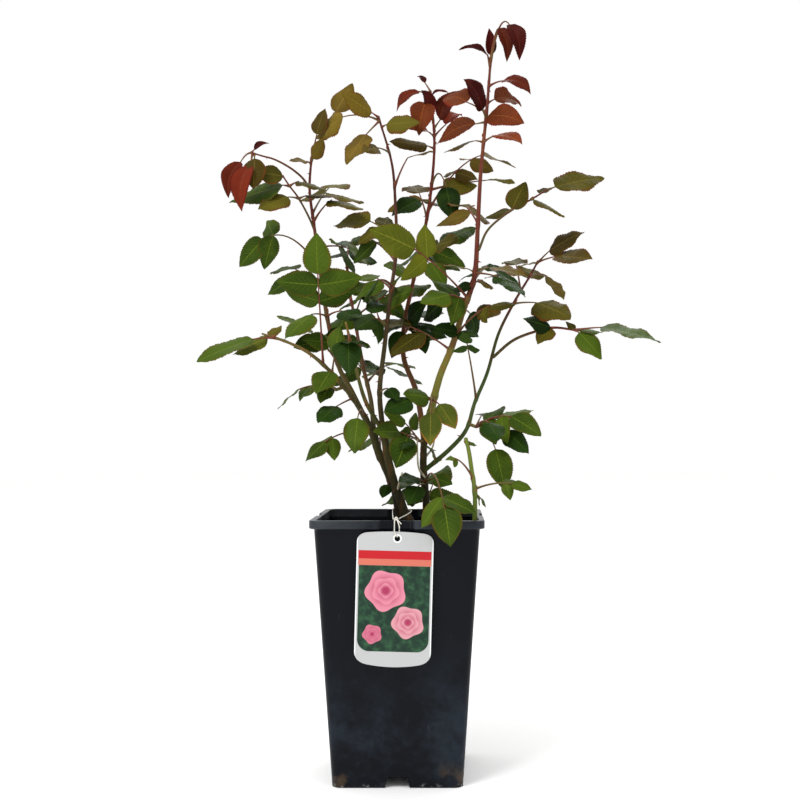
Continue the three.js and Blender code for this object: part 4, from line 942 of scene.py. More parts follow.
@dataclass(frozen=True)
class LeafFinish:
    """A leaf of one age: the colours of its two sides, veins and margin, and its shape.

    Its width and the height of its arch are shares of its length; its fold is a slope. The
    margin's colour starts at the rim, a share of the way out, and runs further in at a burnt tip.
    """

    slot: str
    upper: str
    deep: str
    under: str
    vein: str
    margin: str
    margin_share: float
    rough: float
    width: float = 0.66
    fold: float = 0.16
    arch: float = 0.0
    rim: float = 0.88
    burnt: float = 0.0

    def veins(self, out: Value, along: Value, faint: float) -> tuple[Value, Value, Value]:
        """Draws the veins.

        A side vein runs where the place along the blade, less a share of the way out to the
        margin, is a whole number of vein spacings; it fades before it reaches the margin.

        Args:
            out: The way out from the midrib, from 0 to 1 at the margin.
            along: The place along the blade.
            faint: How thin the veins are, near 1.

        Returns:
            How near a point is to a side vein, the side veins, and the midrib.
        """
        side = abs((((along - out * VEIN_SLANT) * VEINS).fraction() - 0.5) * 2)
        return side, side.smooth(faint, 1.0) * out.smooth(0.8, 0.25), out.smooth(0.06, 0.015)

    def upper_side(self, name: str) -> bpy.types.Material:
        """Returns the upper side: glossy between sunken veins, blotched, with a tinted margin."""
        g = Graph(name)
        across, along = g.unwrap()
        out = abs(across - 0.5) * 2
        tone = g.tone()
        where = g.place()
        cloud = g.noise(where, 38, 4)
        paint = g.mix((tone * 0.7 + cloud * 0.9 - 0.3).smooth(0.1, 0.9), self.deep, self.upper)
        blotch = g.noise(where, 21, 3).smooth(0.52, 0.72)
        paint = g.mix(blotch * 0.35, paint, self.vein)
        side, lateral, rib = self.veins(out, along, 0.86)
        paint = g.mix(lateral * 0.45 + rib * 0.6, paint, self.vein)
        edge = out + cloud * 0.2 + (tone - 0.5) * 0.1 + along.smooth(0.5, 1.0) * self.burnt
        rim = edge.smooth(self.rim, self.rim + 0.2) * self.margin_share
        paint = g.mix(rim, paint, self.margin)
        net = g.cells(where, 620, "DISTANCE_TO_EDGE").smooth(0.0, 0.12)
        puff = (1 - side.smooth(0.2, 1.0)) * 0.6 + net * 0.25
        height = puff * out.smooth(0.0, 0.2) + g.noise(where, 900, 2) * 0.1 - rib * 0.4
        g.bump(height, 0.0006, 0.24)
        gloss = g.noise(where, 120, 3) * 0.16 + lateral * 0.12 + self.rough
        return g.finish(paint, gloss, specular=0.035)

    def under_side(self, name: str) -> bpy.types.Material:
        """Returns the under side: paler and matt, with veins that stand out."""
        g = Graph(name)
        across, along = g.unwrap()
        out = abs(across - 0.5) * 2
        where = g.place()
        cloud = g.noise(where, 70, 3)
        share = (cloud + g.tone() * 0.5 - 0.25).smooth(0.2, 0.8)
        paint = g.mix(0.45, g.mix(share, self.under, self.upper), self.under)
        _, lateral, rib = self.veins(out, along, 0.82)
        paint = g.mix(lateral * 0.45 + rib * 0.6, paint, self.vein)
        g.bump(lateral * 0.5 + rib, 0.0005, 0.6)
        return g.finish(paint, 0.65, specular=0.025)


LEAF_FINISHES = {
    Tint.DEEP: LeafFinish(
        "leaf_green", "#22380f", "#101f07", "#37491c", "#3c5218", "#292b0a", 0.35, 0.36),
    Tint.GREEN: LeafFinish(
        "leaf_green", "#445715", "#27390d", "#526225", "#62721f", "#5c4115", 0.5, 0.38),
    Tint.FRESH: LeafFinish(
        "leaf_green", "#636818", "#464d11", "#646c26", "#787926", "#634416", 0.4, 0.42),
    Tint.OLIVE: LeafFinish(
        "leaf_young", "#564f16", "#39350e", "#615a23", "#6b6320", "#5f2f12", 0.75, 0.42),
    Tint.GOLD: LeafFinish(
        "leaf_young", "#6b591b", "#4f3e13", "#6e5d2a", "#7e6826", "#5d3211", 0.65, 0.42),
    Tint.BROWN: LeafFinish(
        "leaf_young", "#5a4a18", "#3b300f", "#645526", "#6b5c22", "#5f2e12", 0.8, 0.42),
    Tint.YOUNG: LeafFinish(
        "leaf_young", "#7a3719", "#502510", "#784120", "#844820", "#661a10", 0.8, 0.4, 0.6, 0.42,
        0.08),
    Tint.BRICK: LeafFinish(
        "leaf_bronze", "#6c2615", "#42170c", "#743a22", "#763820", "#4f120d", 0.7, 0.38, 0.44,
        0.55, 0.14),
    Tint.BRONZE: LeafFinish(
        "leaf_bronze", "#50150f", "#2a0a08", "#662d1f", "#65261b", "#3f0c0a", 0.7, 0.36, 0.44,
        0.55, 0.14),
    Tint.HURT: LeafFinish(
        "leaf_young", "#4b561b", "#343d12", "#706e30", "#777027", "#85561d", 0.75, 0.42, rim=0.94,
        burnt=0.42),
}


def tint_near(spray: RearSpray) -> Tint:
    """Returns a hidden spray's age: that of the planned leaf nearest to it on its cane."""
    rows = [row for row in LEAVES if row.cane == spray.cane]
    return min(rows, key=lambda row: abs(row.at - spray.at)).tint


@dataclass
class Bush:
    """The whole plant's leaves and stalks, grown by the source's rule."""

    blades: list[Blade] = field(default_factory=list)
    stalks: list[Stalk] = field(default_factory=list)
    spurs: list[tuple[Array, Array]] = field(default_factory=list)

    def rear_leaves(self, spray: RearSpray, base: Array, random: Stream) -> list[LeafRow]:
        """Returns the rows of a hidden spray's leaves, fanned about its bearing by seeded draws.

        Args:
            spray: The spray.
            base: Where its cane is at its height.
            random: The draws.
        """
        leaves = []
        for k in range(spray.leaves):
            turn = (k - (spray.leaves - 1) / 2) * REAR_APART + REAR_TURN * (random() - 0.5)
            drawn = {key: low + REAR_RANGE[key] * random() for key, low in REAR_FROM.items()}
            azimuth, rise = math.radians(spray.bearing + turn), math.radians(drawn["rise"])
            reach = drawn["leaflet"] * drawn["reach"]
            level = math.cos(rise)
            step = np.array([math.cos(azimuth) * level, math.sin(azimuth) * level, math.sin(rise)])
            leaves.append(LeafRow(spray.cane, spray.at, base + step * reach, REAR_PAIRS,
                                  drawn["leaflet"], drawn["face"], REAR_BOW, tint_near(spray)))
        return leaves

    def compound_leaf(self, base: Array, row: LeafRow, node: str, random: Stream) -> None:
        """Adds a leaf: its bowed rib, its end leaflet and its pairs, swung out by seeded draws.

        Args:
            base: Where its rib starts.
            row: Its row of the plan.
            node: The solid that it stands for.
            random: The draws.
        """
        reach = np.linalg.norm(base - row.tip)
        bend = Bend(base, (base + row.tip) / 2 + UP * row.bow * reach, row.tip)
        tilt = math.radians(row.face)
        facing = np.array([0.0, -math.sin(tilt), math.cos(tilt)])
        end = bend.back_from_tip(row.leaflet)
        foot = bend.at(end)
        length = float(np.linalg.norm(row.tip - foot))
        self.blades.append(Blade(foot, unit(row.tip - foot), facing, length, row.tint, node))
        self.stalks.append(Stalk(bend, end))
        for pair in range(row.pairs):
            back = row.leaflet * (FIRST_PAIR + pair * PAIR_SPACING)
            t = max(NEAREST_PAIR, bend.back_from_tip(back))
            rib = bend.heading(t)
            normal = square_to(facing, rib)
            for side in (-1, 1):
                away = turned(rib, normal, side * (PAIR_ANGLE + VARY_ANGLE * (random() - 0.5)))
                away = unit(away - normal * VARY_DROOP * random() - UP * PAIR_SAG)
                lean = turned(normal, away, VARY_ROLL * (random() - 0.5))
                size = row.leaflet * row.share * PAIR_SIZES[pair]
                size *= 1 + VARY_LENGTH * (random() - 0.5)
                self.blades.append(Blade(bend.at(t), away, lean, size, row.tint, node))

    def leaves_at(self, plan: Cane, at: float, random: Stream) -> list[LeafRow]:
        """Gathers the leaves of a cane that stand at one place.

        Args:
            plan: The cane.
            at: The place, from 0 to 1.
            random: The draws for the hidden ones.

        Returns:
            The planned leaves, then the hidden ones.
        """
        seen = [row for row in LEAVES if row.cane == plan.name and row.at == at]
        for spray in REAR_SPRAYS:
            if spray.cane == plan.name and spray.at == at:
                seen += self.rear_leaves(spray, plan.course.at(at), random)
        return seen

    def grow_mass(self, plan: Cane, heights: list[float], node: str, random: Stream) -> None:
        """Grows the leaves that one solid stands for, each from the middle of its cane.

        Where several stand at one place of the cane's bare part, they grow from a short spur.

        Args:
            plan: The cane.
            heights: The places of its leaves, from the lowest.
            node: The solid.
            random: The draws.
        """
        for at in heights:
            rows = self.leaves_at(plan, at, random)
            base = plan.course.at(at)
            if at <= plan.bare and len(rows) > 1:
                out = unit(sum(unit(row.tip - base) for row in rows))
                end = base + out * (float(plan.radius(at)) + SPUR_LENGTH)
                self.spurs.append((base, end))
                base = end
            for row in rows:
                self.compound_leaf(base, row, node, random)

    def grow(self) -> list[str]:
        """Grows every cane's leafy end and sprays in the plan's order, each from the next seed.

        Returns:
            The names of the solids that they stand for.
        """
        nodes = []
        rows = [*LEAVES, *REAR_SPRAYS]
        for plan in CANES:
            heights = sorted({row.at for row in rows if row.cane == plan.name})
            upper = [at for at in heights if at > plan.bare]
            masses = [(f"{plan.name}_leaves", upper)] if upper else []
            bare = [at for at in heights if at <= plan.bare]
            masses += [(f"{plan.name}_spray_{k}", [at]) for k, at in enumerate(bare, 1)]
            for node, places in masses:
                nodes.append(node)
                self.grow_mass(plan, places, node, Stream(len(nodes)))
        return nodes


@dataclass
class Leaflets:
    """The blades of one age, as one mesh of closed, toothed, folded and curled leaflets.

    Its measures are shares of a leaflet's length, but for the thickness in millimetres, the twist
    in radians and the number of waves. Those named vary say how far a seeded draw moves one.
    """

    finish: LeafFinish
    seed: int
    thickness: float = 0.3
    rows: int = 37
    power: float = 0.55
    peak: float = 0.365
    tooth: float = 0.075
    tooth_sunk: float = 0.55
    tooth_lead: float = 0.4
    cup: float = 0.1
    puff: float = 0.012
    wave: float = 0.026
    waves: float = 1.7
    droop: float = 0.1
    twist: float = 0.35
    vary_width: float = 0.05
    vary_fold: float = 0.12
    vary_cup: float = 0.08
    vary_waves: float = 0.8
    vary_droop: float = 0.5

    COLUMNS = np.array([-1, -0.66, -0.32, 0, 0.32, 0.66, 1.0])

    def layout(self) -> tuple[Array, Array, Array, Array, Array]:
        """Returns what all leaflets share.

        Returns:
            The place across of each ring point, its layer (0 above, 1 below), the quads, the
            triangles, and the material's place for each quad of one ring. The lower quads start
            at the corner that makes both layers split along the same diagonal.
        """
        above, below = self.COLUMNS, self.COLUMNS[-2:0:-1]
        across = np.concatenate([above, below])
        layer = np.concatenate([np.zeros(len(above)), np.ones(len(below))])
        quads, triangles = tube_faces(self.rows - 1, len(across))
        ring_slots = (np.arange(len(across)) >= len(above) - 1).astype(int)
        lower = np.tile(ring_slots, self.rows - 2) == 1
        quads[lower] = np.roll(quads[lower], -1, axis=1)
        return across, layer, quads, triangles, ring_slots

    def flat(self, u: Array, s: Array, draw: Array) -> tuple[Array, Array, Array]:
        """Works out the flat blade, of length one.

        Half its width is a power of u times 1 - u over that product's peak, which draws the point
        out. At the margin every second row steps out and forward: these are the teeth, which
        fade towards both ends.

        Args:
            u: The places along it, from 0 to 1.
            s: The places across it, from -1 to 1.
            draw: A draw for each leaflet.

        Returns:
            Half the width, and each point's distance across and along.
        """
        half = u**self.power * (1 - u) / self.peak * self.finish.width / 2
        half = half * (1 + draw * self.vary_width)
        step = np.arange(1, self.rows)[:, None] % 2
        ends = np.minimum(1, 6 * (1 - u)) * np.minimum(1, 5 * u)
        margin = np.abs(s) == 1
        teeth = np.where(margin, (step - self.tooth_sunk) * self.tooth, 0) * ends
        lead = np.where(margin, step * self.tooth_lead / self.rows, 0)
        return half, s * half * (1 + teeth), u + lead * (1 - u)

    def height(self, u: Array, s: Array, half: Array, draw: Array) -> Array:
        """Works out how high each point stands over the flat blade.

        It is a fold that rises from the midrib, less a cup towards the margins, with puffs
        between the side veins, a wave that grows to the margin and a droop with the square of u.

        Args:
            u: The places along it.
            s: The places across it.
            half: Half its width.
            draw: Five draws for each leaflet.

        Returns:
            The height.
        """
        reach = np.abs(s)
        fold = self.finish.fold + self.vary_fold * draw[0]
        cup = self.cup + self.vary_cup * draw[1]
        puff = self.puff * np.cos((u - VEIN_SLANT * reach) * VEINS * 2 * math.pi)
        phase = u * (self.waves + self.vary_waves * draw[2]) + draw[3] + 0.3 * np.sign(s)
        wave = self.wave * reach**2 * np.sin(phase * 2 * math.pi)
        droop = self.droop * u**2 * (1 + self.vary_droop * draw[4])
        curve = fold * reach * half - cup * reach**2 * half * 2
        return curve + puff * reach * (1 - 0.6 * reach) + wave - droop

    def surface(self, blades: list[Blade]) -> tuple[Array, Array, Array, Array]:
        """Works out every point of every leaflet at once.

        A point stands u along the blade and s across it. The lower layer meets the upper one at
        the margin. A twist turns the far end about the midrib, and a young blade arches up by
        4 u (1 - u) between its ends.

        Args:
            blades: The leaflets.

        Returns:
            Points by leaflet, ring and ring point; foot and tip poles; map rows; tones.
        """
        rng = np.random.default_rng(self.seed)
        foot = np.array([b.foot for b in blades])
        along = unit(np.array([b.along for b in blades]))
        facing = square_to(np.array([b.facing for b in blades]), along)
        across = np.cross(along, facing)
        length = np.array([b.length for b in blades])[:, None, None]
        draw = rng.uniform(-1, 1, (7, len(blades), 1, 1))
        s, layer = self.layout()[:2]
        u = np.linspace(0, 1, self.rows + 1)[1:-1, None]
        half, x, y = self.flat(u, s, draw[0])
        z = self.height(u, s, half, draw[1:6])
        x, y, z = x * length, y * length, z * length
        z = z - layer * self.thickness * (1 - np.abs(s)) ** 0.4
        turn = self.twist * draw[6] * u**1.5
        x, z = x * np.cos(turn) - z * np.sin(turn), x * np.sin(turn) + z * np.cos(turn)
        axes = [a[:, None, None, :] for a in (across, along, facing)]
        points = foot[:, None, None] + sum(p[..., None] * a for p, a in zip((x, y, z), axes))
        rise = square_to(np.broadcast_to(UP, along.shape), along)[:, None, None]
        points += rise * (self.finish.arch * 4 * u * (1 - u) * length)[..., None]
        fall = self.droop * (1 + self.vary_droop * draw[5, :, 0]) * length[:, 0]
        tip = foot + along * length[:, 0] - facing * fall
        chart = np.stack(np.broadcast_arrays(0.5 + s / 2, u), -1)
        return points, np.stack([foot, tip], 1), chart, rng.uniform(0, 1, len(blades))

    def build(self, name: str, blades: list[Blade]) -> bpy.types.Object:
        """Makes the mesh of the leaflets of one age.

        Args:
            name: The piece's name.
            blades: The leaflets.

        Returns:
            The piece.
        """
        points, poles, chart, tones = self.surface(blades)
        s, _, quads, triangles, ring_slots = self.layout()
        n, rings = points.shape[:2]
        size = rings * len(s) + 2
        together = np.concatenate([points.reshape(n, -1, 3), poles], 1).reshape(-1, 3)
        shift = np.arange(n)[:, None, None] * size
        chart = np.vstack([chart.reshape(-1, 2), [[0.5, 0], [0.5, 1]]])
        edge = np.append(np.tile(np.abs(s) == 1, rings), [True, True])
        slots = (np.tile(ring_slots, n * (rings - 1)), np.tile(ring_slots, 2 * n))
        skin = Skin()
        skin.add(together, (quads + shift).reshape(-1, 4), (triangles + shift).reshape(-1, 3),
                 np.tile(chart, (n, 1)), np.repeat(tones, size), slots, np.tile(edge, n))
        upper = self.finish.upper_side(f"{name}_upper")
        return skin.build(name, [upper, self.finish.under_side(f"{name}_under")])


# Canes and stalks


@dataclass(frozen=True)
class CaneFinish:
    """The colours of a cane, from its foot to its tip, and the streaks and specks on its skin.

    The change from the low to the high colour runs over the stretch named, as shares of the length.
    """

    slot: str
    low: str
    high: str
    streak: str
    speck: str
    streaks: float
    rough: float
    relief: float
    stretch: tuple[float, float] = (0.15, 0.85)

    def material(self, name: str) -> bpy.types.Material:
        """Returns the skin: long streaks and small specks over a slow change from foot to tip."""
        g = Graph(name)
        where = g.place()
        tone = g.tone()
        x, y, z = g.axes(where)
        long = g.noise(g.vector(x, y, z * 0.16), 260, 4)
        cloud = g.noise(where, 60, 4)
        paint = g.mix((tone + (cloud - 0.5) * 0.5).smooth(*self.stretch), self.low, self.high)
        streaked = (long + (cloud - 0.5) * 0.5).smooth(0.5, 0.72)
        paint = g.mix(streaked * self.streaks, paint, self.streak)
        speck = g.cells(where, 330).smooth(0.16, 0.05) * cloud.smooth(0.4, 0.6)
        paint = g.mix(speck * 0.7, paint, self.speck)
        g.bump(long + speck * 0.4 + g.noise(where, 900, 2) * 0.3, 0.0006, self.relief)
        return g.finish(paint, long * 0.2 + (self.rough - 0.1), specular=0.15)


class Wood(Enum):
    """The skins of the canes, by age."""

    BARK = CaneFinish("cane_bark", "#252114", "#39361a", "#553a1e", "#5c6632", 0.7, 0.75, 1.0)
    ARCH = CaneFinish("cane_bark", "#3d3a1c", "#63562a", "#8a5326", "#8f8358", 0.7, 0.65, 0.6)
    OLIVE = CaneFinish("cane_green", "#3f421d", "#635a2a", "#7d5428", "#8c8450", 0.6, 0.6, 0.5)
    SHOOT = CaneFinish("cane_green", "#4f5c20", "#62702a", "#6e6c30", "#8a9048", 0.35, 0.45, 0.2)
    TALL = CaneFinish(
        "cane_green", "#696628", "#5c291d", "#855022", "#8c7646", 0.55, 0.5, 0.35, (0.2, 0.44))
    DUSKY = CaneFinish("cane_green", "#3c351b", "#4c2219", "#5c3a22", "#7c5c3a", 0.45, 0.5, 0.3)
    SLENDER = CaneFinish(
        "cane_green", "#3a4a1c", "#4c2219", "#5c4a24", "#7f6a3e", 0.4, 0.5, 0.3, (0.45, 0.75))
    MAROON = CaneFinish("cane_maroon", "#4a401e", "#5e2a20", "#6c3a26", "#8c6446", 0.5, 0.48, 0.3)
    RED = CaneFinish("cane_maroon", "#5a3a20", "#66241b", "#744226", "#926446", 0.45, 0.46, 0.3)
    STALK = CaneFinish("cane_maroon", "#5c4c28", "#663326", "#6c7434", "#8c6446", 0.45, 0.5, 0.2)
    DRY = CaneFinish("cane_bark", "#8a7a5a", "#b5ab92", "#6a4a2c", "#d0c8b4", 0.6, 0.8, 0.8)
    PRICKLE = CaneFinish("cane_maroon", "#682e20", "#8a4c36", "#763c28", "#a0745a", 0.3, 0.45, 0.1)


WOODS = {
    "main_stem": Wood.BARK, "twin_stem": Wood.BARK, "second_stem": Wood.BARK,
    "left_arch": Wood.ARCH, "left_tall": Wood.MAROON, "left_twig": Wood.RED,
    "left_side_twig": Wood.MAROON, "inner_left": Wood.OLIVE, "inner_mid": Wood.MAROON,
    "centre": Wood.DUSKY, "red_top": Wood.RED, "tall_right": Wood.TALL,
    "right_side_twig": Wood.MAROON, "right_slender": Wood.SLENDER, "right_arch": Wood.MAROON,
    "water_shoot": Wood.SHOOT,
}


@dataclass
class Canes:
    """The canes with their bark's relief, their buds, their prickles and three dry stubs.

    The relief of old bark, of young skin, of the swelling at a leaf and of the groove below it is
    a share of a cane's radius. Rooted canes run on below the mix, inside the pot's wall.
    """

    sides: int = 20
    spacing: float = 2.2
    root: float = 9.0
    room: float = 0.2
    bud: float = 3.4
    prickle: float = 4.2
    prickle_spacing: float = 34.0
    bark: float = 0.045
    skin: float = 0.014
    swell: float = 0.16
    swell_width: float = 3.2
    groove: float = 0.06
    groove_width: float = 1.3
    groove_below: float = 5.5
    rooted: frozenset = frozenset({"main_stem", "twin_stem", "second_stem", "water_shoot"})
    stubs: tuple = (
        ((25, 8, 300), (19, -5, 312), (18, -9, 340)),
        ((-2, -10, 288), (0, -15, 296), (3, -18, 306)),
        ((27, 12, 322), (33, 8, 330), (36, 6, 341)),
    )

    def relief(self, plan: Cane, t: Array, rng: np.random.Generator) -> Array:
        """Works out a cane's relief: waves along it that drift round it, and its leaves' swellings.

        Args:
            plan: The cane's row of the plan.
            t: The places of its rings.
            rng: The draws.

        Returns:
            The factor on the radius for each ring and side.
        """
        angle = np.arange(self.sides)[None] * 2 * math.pi / self.sides
        length = plan.course.length()
        away = length * t[:, None]
        rough = self.bark if WOODS[plan.name] is Wood.BARK else self.skin
        total = np.ones((len(t), self.sides))
        for waves in (2, 3, 5, 7):
            phase, drift = rng.uniform(0, 6.28), rng.uniform(-0.05, 0.05)
            bend = np.sin(away * rng.uniform(0.05, 0.2) + phase)
            total += rough * np.sin(waves * angle + drift * away + bend) * rng.uniform(0.4, 1)
        total += rough * np.sin(away * 0.55 + 2 * np.sin(angle + away * 0.1)) * 0.6
        for at in {row.at for row in [*LEAVES, *REAR_SPRAYS] if row.cane == plan.name}:
            gap = away - length * at
            total += self.swell * np.exp(-((gap / self.swell_width) ** 2))
            total -= self.groove * np.exp(-(((gap + self.groove_below) / self.groove_width) ** 2))
        return total

    def build_cane(self, plan: Cane, number: int) -> bpy.types.Object:
        """Makes one cane from foot to tip, kept inside the pot's wall.

        Args:
            plan: Its row of the plan.
            number: Its place in the plan, which seeds its relief.

        Returns:
            The cane.
        """
        rng = np.random.default_rng(100 + number)
        t = np.linspace(0, 1, max(12, int(plan.course.length() / self.spacing)))
        path, radius = plan.course.at(t), plan.radius(t)
        relief = self.relief(plan, t, rng)
        if plan.name in self.rooted:
            below = path[0] - plan.course.heading(0.0) * self.root
            path, radius = np.vstack([below, path]), np.append(radius[0], radius)
            relief = np.vstack([relief[:1], relief])
        skin = Skin()
        tube(skin, path, radius, self.sides, relief=relief)
        pot, (points,) = NurseryPot(), skin.points
        room = pot.inner(points[:, 2:]) - self.room
        in_pot = points[:, 2:] < pot.height
        points[:, :2] = np.where(in_pot, np.clip(points[:, :2], -room, room), points[:, :2])
        share = np.repeat(np.linspace(0, 1, len(path)), self.sides)
        skin.tones = [np.concatenate([share, [0, 1]])]
        wood = WOODS[plan.name].value
        return skin.build(f"{plan.name}_bark", [wood.material(f"{plan.name}_skin")])

    def side_of(
        self, plan: Cane, t: float, start: list[float], rng: np.random.Generator
    ) -> tuple[Array, Array]:
        """Returns a cane's heading at t, and start made square to it and turned by a draw."""
        heading = plan.course.heading(t)
        return heading, turned(square_to(np.array(start), heading), heading, rng.uniform(0, 360))

    def cone(
        self, skin: Skin, base: Array, aim: Array, hook: Array, size: tuple[float, float], tone: float
    ) -> None:
        """Adds a prickle or bud: a small cone, wide at its foot, that hooks over as it rises.

        Args:
            skin: What it is added to.
            base: Where it stands.
            aim: The direction that it points in.
            hook: The direction that it hooks towards.
            size: Its length and its radius at the foot.
            tone: The number that its material varies with.
        """
        length, width = size
        t = np.linspace(0, 1, 6)[:, None]
        path = base + aim * length * t + hook * length * 0.3 * t**2
        tube(skin, path, width * (1 - t[:, 0]) ** 1.3 + 0.08, 7, tone)

    def prickles(self) -> bpy.types.Object:
        """Makes the prickles, strewn along the canes by seed, and a bud above each leaf."""
        rng = np.random.default_rng(31)
        skin = Skin()
        for plan in CANES:
            count = int(plan.course.length() / self.prickle_spacing)
            for t in (np.arange(count) + rng.uniform(0.2, 0.8, count)) / max(count, 1):
                heading, side = self.side_of(plan, t, [1.0, 0.2, 0.1], rng)
                length = self.prickle * rng.uniform(0.5, 1.0) * (0.55 + 0.45 * plan.foot / 4.6)
                base = plan.course.at(t) + side * float(plan.radius(t)) * 0.85
                size = (length, length * 0.3)
                self.cone(skin, base, side, -heading, size, rng.uniform(0, 1))
            for at in sorted({row.at for row in LEAVES if row.cane == plan.name and row.at < 0.97}):
                heading, side = self.side_of(plan, at, [1.0, -0.6, 0.1], rng)
                base = plan.course.at(at + 0.012) + side * float(plan.radius(at)) * 0.8
                size = (self.bud, self.bud * 0.34)
                self.cone(skin, base, unit(heading + side * 0.7), -side, size, rng.uniform(0, 1))
        return skin.build("prickles", [Wood.PRICKLE.value.material("prickle_skin")])

    def dry_stubs(self) -> bpy.types.Object:
        """Makes the thin dry stubs that old shoots left on the stems."""
        skin = Skin()
        t = np.linspace(0, 1, 14)
        for points in self.stubs:
            tube(skin, Course(points).at(t), 1.3 - 0.6 * t, 8, 0.8)
        return skin.build("dry_stubs", [Wood.DRY.value.material("dry_skin")])

    def build(self) -> list[bpy.types.Object]:
        """Makes all canes, which stand for their solids, and the prickles and stubs on them."""
        made = []
        for number, plan in enumerate(CANES):
            made.append(self.build_cane(plan, number))
            ride(made[-1], [plan.name], WOODS[plan.name].value.slot)
        made += [self.prickles(), self.dry_stubs()]
        for piece, wood in zip(made[-2:], (Wood.PRICKLE, Wood.DRY)):
            ride(piece, [], wood.value.slot)
        return made


@dataclass
class Stalks:
    """The leaf stalks: ribs with a swollen foot, and the short spurs that sprays grow from."""

    base: float = 1.15
    tip: float = 0.62
    sides: int = 8
    steps: int = 12

    def build(self, bush: Bush) -> bpy.types.Object:
        """Makes every stalk and spur as one mesh.

        Args:
            bush: The grown bush.

        Returns:
            The piece.
        """
        rng = np.random.default_rng(5)
        skin = Skin()
        for base, end in bush.spurs:
            t = np.linspace(0, 1, 5)[:, None]
            tube(skin, base + (end - base) * t, SPUR_RADIUS * (1.15 - 0.2 * t[:, 0]), 10, 0.2)
        for stalk in bush.stalks:
            t = np.linspace(0, stalk.end + 0.012, self.steps)
            swell = 1 + 0.5 * np.exp(-((t / 0.06) ** 2))
            path = np.array([stalk.bend.at(k) for k in t])
            radius = (self.base + (self.tip - self.base) * t / max(stalk.end, 0.1)) * swell
            tube(skin, path, np.maximum(radius, 0.5), self.sides, rng.uniform(0.2, 1))
        return skin.build("leaf_stalks", [Wood.STALK.value.material("stalk_skin")])


def ride(piece: bpy.types.Object, nodes: list[str], slot: str) -> None:
    """Puts a piece on the part's one body, for the solids that it replaces.

    Args:
        piece: The piece.
        nodes: The solids' names.
        slot: The name of the piece's material slot; it is not used.
    """
    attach(piece, "root")
    if nodes:
        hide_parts(*nodes)


# Pot, mix, card and tie


def rounded_square(half: Array, radius: Array, arc: int, side: int) -> Array:
    """Returns rows of points round a square with rounded corners, one row for each half width.

    Each corner is a quarter circle about a centre that stands in from both sides by the radius;
    each straight side runs from one quarter circle's end to the next one's start.

    Args:
        half: Half the width, for each row.
        radius: The corner's radius, for each row.
        arc: How many steps a corner has.
        side: How many steps a straight side has.

    Returns:
        The points, by row.
    """
    corners, rows = [], []
    for corner in range(4):
        turn = corner * math.pi / 2
        angle = turn + np.linspace(0, math.pi / 2, arc + 1)
        middle = math.sqrt(2) * (half - radius)[:, None]
        place = np.array([math.cos(turn + math.pi / 4), math.sin(turn + math.pi / 4)])
        circle = np.stack([np.cos(angle), np.sin(angle)], -1)
        corners.append(middle[..., None] * place + radius[:, None, None] * circle)
    share = np.linspace(0, 1, side + 1)[1:-1, None]
    for here, after in zip(corners, [*corners[1:], corners[0]]):
        rows += [here, here[:, -1:] + (after[:, :1] - here[:, -1:]) * share]
    return np.concatenate(rows, 1)


class PotPlastic:
    """Blue-black moulded plastic: satin, scuffed along edges, dusty and stained low down."""

    def material(self) -> bpy.types.Material:
        """Returns the plastic: a painted highlight on the lip, low clouds of dust, upright scuffs and
        a worn foot.
        """
        g = Graph("pot_plastic")
        where = g.place()
        x, y, z = g.axes(where)
        cloud = g.noise(where, 14, 5, 0.6)
        fine = g.noise(where, 160, 4, 0.6)
        upright = g.noise(g.vector(x, y, z * 0.06), 210, 4, 0.6)
        dust = (cloud + (fine - 0.5) * 0.25).smooth(0.42, 0.72) * z.smooth(0.17, 0.03)
        middle = to_frame(np.zeros(3))
        paint = g.mix(dust * 0.3, "#080b11", "#3a4653")
        pot = NurseryPot()
        # Painted highlight: the lip's faces are mixed towards light grey in clouds, except over the
        # dip at the middle of each side.
        dip, under_lip = pot.dip_width / 2 * MM, (pot.height - pot.lip) * MM
        lip = z.smooth(under_lip - 0.0006, under_lip + 0.0007)
        for off_middle in (abs(x - middle[0]), abs(y - middle[1])):
            lip = lip * off_middle.smooth(dip - 0.0015, dip + 0.0025)
        paint = g.mix(lip * (cloud * 0.9 - 0.2), paint, "#5a6066")
        scuff = upright.smooth(0.66, 0.76) * cloud.smooth(0.4, 0.6)
        paint = g.mix(scuff * 0.22, paint, "#6a6f73")
        stain = g.noise(where, 30, 4).smooth(0.58, 0.7) * z.smooth(0.03, 0.0)
        paint = g.mix(stain * 0.5, paint, "#5c4a36")
        wear = fine.smooth(0.54, 0.66) * z.smooth(0.005, 0.001)
        paint = g.mix(wear * 0.45, paint, "#8d8f8c")
        g.bump(g.noise(where, 700, 2) * 0.5 + upright * 0.5, 0.0002, 0.18)
        rough = fine * 0.12 + dust * 0.22 + cloud * 0.1 + 0.2
        return g.finish(paint, rough, specular=0.1)


